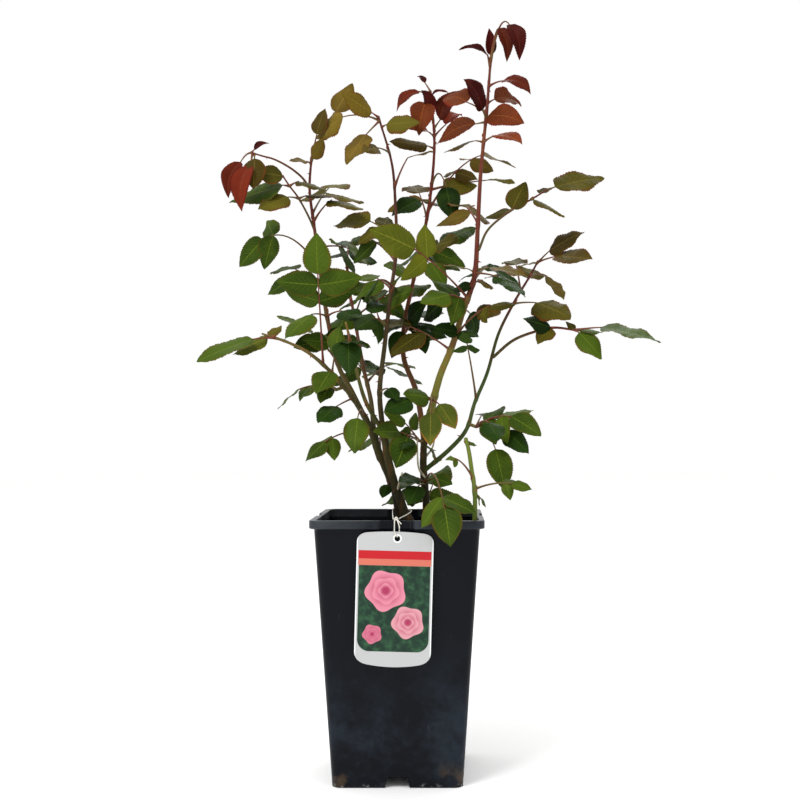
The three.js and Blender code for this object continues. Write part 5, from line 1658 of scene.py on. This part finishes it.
@dataclass
class NurseryPot:
    """The tapering square pot, with its lip, its raised floor, its foot notches and drain holes."""

    height: float = 262
    rim: float = 170
    lip: float = 8.2
    under_lip: float = 161
    foot: float = 128.6
    wall: float = 1.7
    corner: float = 9
    lip_corner: float = 11
    dip_width: float = 33
    dip_depth: float = 3
    floor: float = 11
    floor_thickness: float = 2.2
    foot_wall: float = 2.6
    notch_height: float = 10.4
    notch_width: float = 24.5
    notch_narrowing: float = 2.2
    drain: float = 6
    drain_offset: float = 36

    def outer(self, z: float | Array) -> float | Array:
        """Returns half the width outside the wall at a height."""
        slope = (self.under_lip - self.foot) / (self.height - self.lip) / 2
        return self.foot / 2 + slope * z

    def inner(self, z: float | Array) -> float | Array:
        """Returns half the width inside the wall at a height."""
        return self.outer(z) - self.wall

    def profile(self) -> Array:
        """Returns the wall's section as rows of height, half width and corner radius.

        It runs up the outside, over the rounded lip, down the inside, across the floor and out
        under it to the foot.
        """
        outer, inner = self.outer, self.inner
        start = self.height - self.lip
        heights = (0, 0.8, 4, 12, 40, 90, 140, 190, 230, 250, start - 0.6)
        rows = [(z, outer(z), self.corner) for z in heights]
        half, top = self.rim / 2, self.floor + self.floor_thickness
        rows += [
            (start, outer(start) + 0.4, 9.3),
            (start, half - 0.8, 10.6),
            (start + 0.7, half, self.lip_corner),
            (self.height - 1, half, self.lip_corner),
            (self.height - 0.3, half - 0.3, 10.8),
            (self.height, half - 1, 10.4),
            (self.height, inner(start) + 1, 9.2),
            (self.height - 0.8, inner(start) + 0.2, 8.6),
        ]
        rows += [(z, inner(z), self.corner - 0.9) for z in (start, 230, 180, 120, 60, top + 1.5)]
        return np.array([
            *rows,
            (top, inner(top) - 1.5, 7),
            (self.floor, outer(self.floor) - self.foot_wall - 1, 7),
            (self.floor - 1, outer(self.floor) - self.foot_wall, 7.4),
            (0, self.foot / 2 - self.foot_wall, 7.4),
        ])

    def shell(self) -> Skin:
        """Works out the shell: its section carried round a rounded square.

        The lip's outer face steps in at the middle of each side, over the width of its dip.
        """
        rows = self.profile()
        ring = rounded_square(rows[:, 1], rows[:, 2], 10, 40)
        z = np.broadcast_to(rows[:, 0, None], ring.shape[:2])
        lip = (z > self.height - self.lip + 0.3) & (rows[:, 1, None] > self.under_lip / 2 + 0.3)
        for axis in (0, 1):
            other = 1 - axis
            middle = 1 / (1 + np.exp((np.abs(ring[..., axis]) - self.dip_width / 2) * 3))
            facing = np.abs(ring[..., other]) > rows[:, 1, None] - 2
            pull = np.where(lip & facing, middle * self.dip_depth, 0)
            ring[..., other] -= np.sign(ring[..., other]) * pull
        points = np.concatenate([ring, z[..., None]], -1)
        rings, count = ring.shape[:2]
        floor_top = self.floor + self.floor_thickness
        top_row = int(np.flatnonzero(rows[:, 0] == floor_top)[-1])
        quads = np.delete(belt(rings, count, closed=True), top_row, 0).reshape(-1, 4)
        poles = np.array([[0, 0, floor_top], [0, 0, self.floor]])
        upper = fan(top_row * count, count, rings * count)
        lower = fan((top_row + 1) * count, count, rings * count + 1, flipped=True)
        triangles = np.vstack([upper, lower])
        skin = Skin()
        skin.add(np.vstack([points.reshape(-1, 3), poles]), quads, triangles)
        return skin

    def prism(self, name: str, outline: Array, low: Array, high: Array) -> bpy.types.Object:
        """Makes a straight-sided solid between two copies of an outline, for cutting.

        Args:
            name: Its name.
            outline: The outline's points.
            low: What is added to them for one end.
            high: What is added to them for the other end.

        Returns:
            The solid.
        """
        count = len(outline)
        points = np.vstack([outline + low, outline + high])
        side = np.arange(count)
        faces = [side[::-1], side + count, *belt(2, count)[0]]
        mesh = bpy.data.meshes.new(name)
        mesh.from_pydata(to_frame(points).tolist(), [], [face.tolist() for face in faces])
        return placed(name, mesh)

    def cutters(self) -> list[bpy.types.Object]:
        """Returns the notches in the foot and the drain holes, as solids to cut away."""
        wide, narrow = self.notch_width / 2, self.notch_width / 2 - self.notch_narrowing
        top = self.notch_height
        flat = np.array([[-wide, -1], [wide, -1], [narrow, top], [-narrow, top]])
        along_y = np.stack([flat[:, 0], 0 * flat[:, 0], flat[:, 1]], -1)
        along_x = np.stack([0 * flat[:, 0], flat[:, 0], flat[:, 1]], -1)
        back, right = np.array([0, self.rim / 2, 0]), np.array([self.rim / 2, 0, 0])
        solids = [
            self.prism("notch_front", along_y[::-1], -back, back),
            self.prism("notch_side", along_x, -right, right),
        ]
        circle = disc(24, self.drain)
        for x, y in ((0, 0), (1, 1), (1, -1), (-1, 1), (-1, -1)):
            at = np.array([x * self.drain_offset, y * self.drain_offset, self.floor - 3])
            solids.append(self.prism("drain", circle, at, at + UP * 8))
        return solids

    def build(self) -> bpy.types.Object:
        """Makes the pot, with its notches and holes cut, and keeps its edges crisp."""
        pot = self.shell().build("nursery_pot", [PotPlastic().material()])
        for cutter in self.cutters():
            cut = pot.modifiers.new("cut", "BOOLEAN")
            cut.operation, cut.solver, cut.object = "DIFFERENCE", "EXACT", cutter
            bpy.context.view_layer.objects.active = pot
            bpy.ops.object.modifier_apply(modifier=cut.name)
            bpy.data.objects.remove(cutter)
        pot.data.set_sharp_from_angle(angle=math.radians(40))
        ride(pot, ["pot"], "pot")
        return pot


@dataclass
class PottingMix:
    """The mix: a lumpy surface with crumbs and shreds of bark lying on it."""

    top: float = SOIL_TOP
    bottom: float = 13.6
    half: float = 77.2
    foot_half: float = 64
    sunk: float = 1.6
    lumps: float = 0.7
    waves: int = 26
    crumbs: int = 1500

    def soil(self) -> bpy.types.Material:
        """Returns the mix: dark and moist, with paler fibres."""
        g = Graph("mix_soil")
        where = g.place()
        cloud = g.noise(where, 90, 5, 0.7)
        tone = g.tone()
        paint = g.mix(cloud.smooth(0.35, 0.7), "#170f0a", "#3d2a1b")
        paint = g.mix((tone + (cloud - 0.5) * 0.6).smooth(0.7, 1.0) * 0.8, paint, "#7a5a3a")
        g.bump(cloud + g.cells(where, 420) * 0.5, 0.0012, 0.8)
        return g.finish(paint, 0.93, specular=0.25)

    def height(self, x: Array, y: Array) -> Array:
        """Works out the surface's height: crossed waves of seeded direction and phase.

        Args:
            x: The places across the pot.
            y: The places from its front to its back.

        Returns:
            The height at each.
        """
        rng = np.random.default_rng(11)
        total = np.zeros_like(x)
        for _ in range(self.waves):
            kx, ky = rng.normal(0, 0.16, 2)
            total += np.sin(kx * x + ky * y + rng.uniform(0, 6.28)) * rng.uniform(0.1, 0.42)
        return self.top - self.sunk + self.lumps * total

    def build(self) -> bpy.types.Object:
        """Makes the mix: a block with a lumpy top, and crumbs sunk into it."""
        rng = np.random.default_rng(12)
        skin = Skin()
        radii = np.linspace(0.02, 1, 60)
        halves = np.concatenate([radii * self.half, [self.half, self.foot_half]])
        corner = np.concatenate([radii * 8, [8, 8]])
        ring = rounded_square(halves, np.minimum(corner, halves * 0.9), 6, 34)
        z = self.height(ring[..., 0], ring[..., 1])
        z[-2:] = np.array([[self.top - 8], [self.bottom]])
        points = np.concatenate([ring, z[..., None]], -1)
        quads, triangles = tube_faces(len(points), ring.shape[1])
        middle = [[0, 0, float(self.height(np.zeros(1), np.zeros(1))[0])], [0, 0, self.bottom]]
        every = np.vstack([points.reshape(-1, 3), middle])
        skin.add(every, quads[:, ::-1], triangles[:, ::-1], tone=0.3)
        place = rng.uniform(-self.half + 2, self.half - 2, (self.crumbs, 2))
        size = rng.gamma(2.2, 0.75, self.crumbs).clip(0.5, 5)
        for (x, y), r in zip(place, size):
            z0 = float(self.height(np.array([x]), np.array([y]))[0])
            heading = unit(rng.normal(size=3) * [1, 1, 0.25])
            start = np.array([x, y, min(z0 + r * 0.15, self.top - 0.2)])
            path = start + heading * np.linspace(-1, 1, 4)[:, None] * r
            girth = r * rng.uniform(0.25, 0.6) * np.array([0.7, 1, 0.9, 0.5])
            tube(skin, path, girth, 5, rng.uniform(0, 1), rng.uniform(0.7, 1.2, (4, 5)))
        piece = skin.build("potting_mix_crumbs", [self.soil()])
        ride(piece, ["potting_mix"], "potting_mix")
        return piece


@dataclass
class CareCard:
    """The hanging card: shoulders, a convex foot, a hole, and plain bars over a flower field.

    A bar is the stretch that each of its edges softens over, from the card's middle up, and its
    ink; a blossom is its place from the card's middle, its radius and its light colour.
    """

    width: float = 73.7
    height: float = 130.4
    thickness: float = 0.5
    middle: float = -1
    top: float = 251.9
    front: float = -83.9
    hole: float = 2.8
    hole_across: float = 1.9
    hole_below: float = 6.9
    turn: float = 1.5
    rings: int = 40
    field_corner: float = 11.5
    field_margin: float = 2.5
    field_depth: float = 50.5
    bars: tuple = (
        ((32.0, 32.3), (38.5, 38.2), "#c66a58"), ((38.2, 38.5), (46.6, 46.2), "#b5141f"))
    blossoms: tuple = ((-8, 8, 19, "#cf7f92"), (14, -22, 15, "#cb8f98"), (-20, -34, 9, "#c06a80"))

    def corner(self, a: tuple, b: tuple, c: tuple, steps: int) -> Array:
        """Returns points along a quadratic curve from a past b to c, without the last."""
        t = np.linspace(0, 1, steps + 1)[:-1, None]
        a, b, c = (np.array(p, float) for p in (a, b, c))
        return (1 - t) ** 2 * a + 2 * t * (1 - t) * b + t**2 * c

    def side(self, a: tuple, b: tuple, steps: int) -> Array:
        """Returns points along a straight line from a to b, without the last."""
        return self.corner(a, tuple((np.array(a) + np.array(b)) / 2), b, steps)

    def outline(self) -> Array:
        """Returns the outline's points, counter-clockwise from the lower right, from curves."""
        half, head, foot = self.width / 2, self.height / 2, -self.height / 2
        return np.vstack([
            self.side((half, foot + 15), (half, head - 11), 40),
            self.corner((half, head - 11), (half, head - 3), (half - 10, head - 1.6), 16),
            self.corner((half - 10, head - 1.6), (0, head + 1), (10 - half, head - 1.6), 40),
            self.corner((10 - half, head - 1.6), (-half, head - 3), (-half, head - 11), 16),
            self.side((-half, head - 11), (-half, foot + 15), 40),
            self.corner((-half, foot + 15), (-half, foot + 4.5), (12 - half, foot + 2.2), 18),
            self.corner((12 - half, foot + 2.2), (0, foot - 2.2), (half - 12, foot + 2.2), 44),
            self.corner((half - 12, foot + 2.2), (half, foot + 4.5), (half, foot + 15), 18),
        ])

    def field(self, x: Value, y: Value) -> Value:
        """Returns 1 over the flower field, which fills the foot up to the bars, round-cornered."""
        corner = self.field_corner
        beside = ((abs(x) - (self.width / 2 - self.field_margin - corner)) / corner).positive()
        below = ((y * -1 - (self.field_depth - corner)) / corner).positive()
        return y.smooth(32.3, 32.0) * ((beside**2 + below**2) ** 0.5).smooth(1.02, 0.98)

    def blossom(
        self, g: Graph, x: Value, y: Value, size: float, light: str, field: Value, paint: Paint
    ) -> Paint:
        """Lays a blossom on the paint: three rings of petals, each deep inside and light outside.

        Args:
            g: The graph.
            x: The distance right of its middle.
            y: The distance above its middle.
            size: Its radius.
            light: Its light colour.
            field: Where it may show.
            paint: What lies under it.

        Returns:
            The paint with the blossom.
        """
        away = (x * x + y * y) ** 0.5
        angle = y.bearing(x)
        for ring, petals, deep in ((1.0, 5, "#a53d5a"), (0.66, 5, "#b04a68"), (0.36, 4, "#9f3055")):
            edge = (angle * petals + ring * 4).sine() * size * ring * 0.08 + size * ring
            shade = g.mix((away / (size * ring)).smooth(0.35, 1.0), deep, light)
            paint = g.mix((away - edge).smooth(0.25, -0.25) * field, paint, shade)
        return paint

    def print_face(self) -> bpy.types.Material:
        """Returns the printed front.

        A pale face with a white edge carries a red bar, a salmon bar and a green field of plain
        pink blossoms. Map coordinates run over the card's width and height.
        """
        g = Graph("card_print")
        across, up = g.unwrap()
        x, y = (across - 0.5) * self.width, (up - 0.5) * self.height
        half = self.width / 2
        fine = g.noise(g.place(), 500, 2)
        paint = g.mix(fine * 0.25, "#b0b1b1", "#bdbdbc")
        inside = abs(x).smooth(half - 1.6, half - 2.0)
        for low, high, ink in self.bars:
            paint = g.mix(y.smooth(*low) * y.smooth(*high) * inside, paint, ink)
        field = self.field(x, y)
        leafy = g.noise(g.vector(x * 0.05, y * 0.05, 0.0), 2.6, 5, 0.6)
        paint = g.mix(field, paint, g.mix(leafy.smooth(0.4, 0.75), "#0c2a1e", "#2c5636"))
        for middle_x, middle_y, size, light in self.blossoms:
            paint = self.blossom(g, x - middle_x, y - middle_y, size, light, field, paint)
        paint = g.mix(abs(x).smooth(half - 1.3, half - 0.9), paint, "#e2e4e4")
        hole_up = self.height / 2 - self.hole_below
        ring = ((x - self.hole_across) ** 2 + (y - hole_up) ** 2) ** 0.5
        paint = g.mix(ring.smooth(self.hole + 1.6, self.hole + 1.2), paint, "#e6e8e8")
        g.bump(fine, 0.0001, 0.08)
        return g.finish(paint, fine * 0.1 + 0.35, specular=0.25)

    def back_face(self) -> bpy.types.Material:
        """Returns the plain back and edge: milky plastic with a faint grain."""
        g = Graph("card_back")
        fine = g.noise(g.place(), 300, 3)
        g.bump(fine, 0.0001, 0.1)
        return g.finish(g.mix(fine, "#dfe3e6", "#eceff1"), fine * 0.12 + 0.38)

    def build(self) -> bpy.types.Object:
        """Makes the card as rings from its hole out to its outline, front and back, closed."""
        outer = self.outline()
        centre = np.array([self.hole_across, self.height / 2 - self.hole_below])
        count = len(outer)
        angle = np.arctan2(*(outer - centre).T[::-1])
        inner = centre + self.hole * np.stack([np.cos(angle), np.sin(angle)], -1)
        share = np.linspace(0, 1, self.rings)[:, None, None] ** 1.3
        flat = inner + (outer - inner) * share
        flat = np.concatenate([flat, flat[::-1]])
        depth = np.repeat([0.0, self.thickness], self.rings)[:, None]
        tilt = math.radians(-self.turn)
        across, up = np.moveaxis(flat - centre, -1, 0)
        x = across * math.cos(tilt) - up * math.sin(tilt)
        z = across * math.sin(tilt) + up * math.cos(tilt)
        place = np.stack([x + self.middle + self.hole_across, self.front + depth + 0 * x,
                          z + self.top - self.hole_below], -1)
        quads = belt(2 * self.rings, count, closed=True)
        chart = flat / [self.width, self.height] + 0.5
        slots = np.ones(quads.shape[:2], int)
        slots[: self.rings - 1] = 0
        skin = Skin()
        skin.add(place.reshape(-1, 3), quads.reshape(-1, 4)[:, ::-1], np.zeros((0, 3), int),
                 chart.reshape(-1, 2), slots=(slots.ravel(), np.zeros(0, int)))
        piece = skin.build("care_card", [self.print_face(), self.back_face()])
        piece.data.set_sharp_from_angle(angle=math.radians(40))
        ride(piece, ["card"], "card")
        return piece


@dataclass
class Tie:
    """The off-white tie from behind the stems over the rim to the card's hole."""

    radius: float = 0.55
    knot: tuple = (-0.4, -81.8, 264.0)
    knot_turns: int = 3
    tail: tuple = (5, -2, -5)
    off_card: float = 0.9
    steps: int = 420

    def yarn(self) -> bpy.types.Material:
        """Returns the yarn: off-white with fine slanting strands."""
        g = Graph("tie_yarn")
        around, along = g.unwrap()
        strand = ((around * 2 + along * 90) * (2 * math.pi)).sine() * 0.5 + 0.5
        paint = g.mix(strand.smooth(0.1, 0.7), "#b9b4a4", "#f0ede4")
        g.bump(strand, 0.0002, 0.6)
        return g.finish(paint, 0.75)

    def loop(self) -> Array:
        """Returns the tie's course, from behind the stems to the card and back."""
        card, kx = CareCard(), self.knot[0]
        hx, hz = card.middle + card.hole_across, card.top - card.hole_below
        inside = card.front + card.thickness / 2
        behind, before = card.front + card.thickness + self.off_card, card.front - self.off_card
        return np.array([
            [-1.5, 12, 267.5], [-6.2, 10, 267.3], [-7.5, 5, 267], [-6.4, -25, 264.6],
            [-4.6, -55, 263], [-3.4, -74, 262.9], [kx - 1.2, -80.5, 263.6], [-1.9, -83, 262.4],
            [-2, -83.1, 256], [-1.8, before, 251.4], [hx - 1, before, hz + 3.2],
            [hx - 0.2, before + 0.4, hz + 2.1], [hx, inside, hz + 1.7],
            [hx + 0.3, behind - 0.3, hz + 2.1], [hx + 0.9, behind, hz + 3.4],
            [2.5, behind, 250.8], [2.8, -83.2, 254.2], [2.6, -83.3, 257], [kx + 1.2, -82.9, 262.6],
            [kx + 1.1, -80.5, 263.6], [1.7, -74, 262.9], [3.4, -55, 263], [8.6, -30, 264.2],
            [12.1, -8, 266], [9.6, 0, 266.4], [4.4, 8.4, 267], [2.2, 11.4, 267.3],
        ])

    def build(self) -> bpy.types.Object:
        """Makes the tie: a strand, a knot of turns and its short tail."""
        skin = Skin()
        path = Course(self.loop()).at(np.linspace(0, 1, self.steps))
        tube(skin, path, np.full(self.steps, self.radius), 10)
        knot = np.array(self.knot)
        t = np.linspace(0, 1, 60)
        spin = t * 2 * math.pi * self.knot_turns
        turns = knot + np.stack([np.cos(spin) * 1.1, (t - 0.5) * 1.6, np.sin(spin) * 1.2], -1)
        tube(skin, turns, np.full(60, self.radius * 1.1), 8)
        tail = knot + np.linspace(0, 1, 12)[:, None] * np.array(self.tail)
        tube(skin, tail, np.full(12, self.radius), 8)
        piece = skin.build("white_tie", [self.yarn()])
        ride(piece, ["tie"], "tie")
        return piece


# Studio


@dataclass(frozen=True)
class Lamp:
    """A soft square light: its place and width in metres, and its power in watts."""

    name: str
    place: tuple[float, float, float]
    size: float
    power: float


@dataclass
class Studio:
    """The plain pale floor, the soft lights and the camera at the photograph's view."""

    eye: tuple = (50, -1244, 354)
    lens: float = 54.4
    shift: tuple = (-0.0607, 0.03125)
    floor_size: float = 8.0
    floor_level: float = -0.0004
    world: float = 1.0
    aim: tuple = (0, 0, 0.35)
    lamps: tuple = (
        Lamp("key", (-1.2, -1.6, 2.4), 1.0, 44),
        Lamp("fill", (1.9, -1.6, 1.2), 1.6, 4),
        Lamp("back", (0.4, 1.8, 2.0), 1.2, 12),
    )

    def floor(self) -> None:
        """Makes the floor, a large flat disc under the pot."""
        g = Graph("floor_white")
        cloud = g.noise(g.place(), 3, 2)
        material = g.finish(g.mix(cloud, "#fdfdfc", "#ffffff"), 0.9)
        points = disc(96, self.floor_size)
        points[:, 2] = self.floor_level
        mesh = bpy.data.meshes.new("floor")
        mesh.from_pydata(points.tolist(), [], [list(range(len(points)))])
        mesh.materials.append(material)
        placed("floor", mesh)

    def light(self, lamp: Lamp) -> None:
        """Makes a lamp that faces the bush's middle."""
        data = bpy.data.lights.new(lamp.name, "AREA")
        data.size, data.energy = lamp.size, lamp.power
        made = placed(lamp.name, data)
        made.location = lamp.place
        aim = Vector(self.aim) - made.location
        made.rotation_euler = aim.to_track_quat("-Z", "Y").to_euler()

    def camera(self) -> None:
        """Makes the camera, which looks straight along +Y."""
        data = bpy.data.cameras.new("camera")
        data.lens, data.sensor_width = self.lens, 36
        data.shift_x, data.shift_y = self.shift
        made = placed("camera", data)
        made.location = to_frame(np.array(self.eye))
        made.rotation_euler = (math.pi / 2, 0, 0)
        bpy.context.scene.camera = made

    def build(self) -> None:
        """Makes the floor, world, lights and camera."""
        world = bpy.data.worlds.new("studio")
        world.use_nodes = True
        sky = world.node_tree.nodes["Background"]
        sky.inputs["Color"].default_value = (1, 1, 1, 1)
        sky.inputs["Strength"].default_value = self.world
        bpy.context.scene.world = world
        bpy.context.scene.view_settings.view_transform = "Standard"
        self.floor()
        for lamp in self.lamps:
            self.light(lamp)
        self.camera()


def report(piece: bpy.types.Object) -> None:
    """Logs a piece's name and its number of faces."""
    log.info("%s: %d faces", piece.name, len(piece.data.polygons))


def main() -> None:
    """Builds the pot, then the canes, then the leaves, and reports each."""
    logging.basicConfig(level=logging.INFO, format="%(name)s: %(message)s")
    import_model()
    Studio().build()
    for part in (NurseryPot(), PottingMix(), CareCard(), Tie()):
        report(part.build())
    for piece in Canes().build():
        report(piece)
    bush = Bush()
    masses = bush.grow()
    stalks = Stalks().build(bush)
    ride(stalks, masses, Wood.STALK.value.slot)
    report(stalks)
    for tint in Tint:
        blades = [blade for blade in bush.blades if blade.tint is tint]
        finish = LEAF_FINISHES[tint]
        piece = Leaflets(finish, seed=len(blades)).build(f"leaflets_{tint.value}", blades)
        ride(piece, sorted({blade.node for blade in blades}), finish.slot)
        report(piece)


if __name__ == "__main__":
    main()
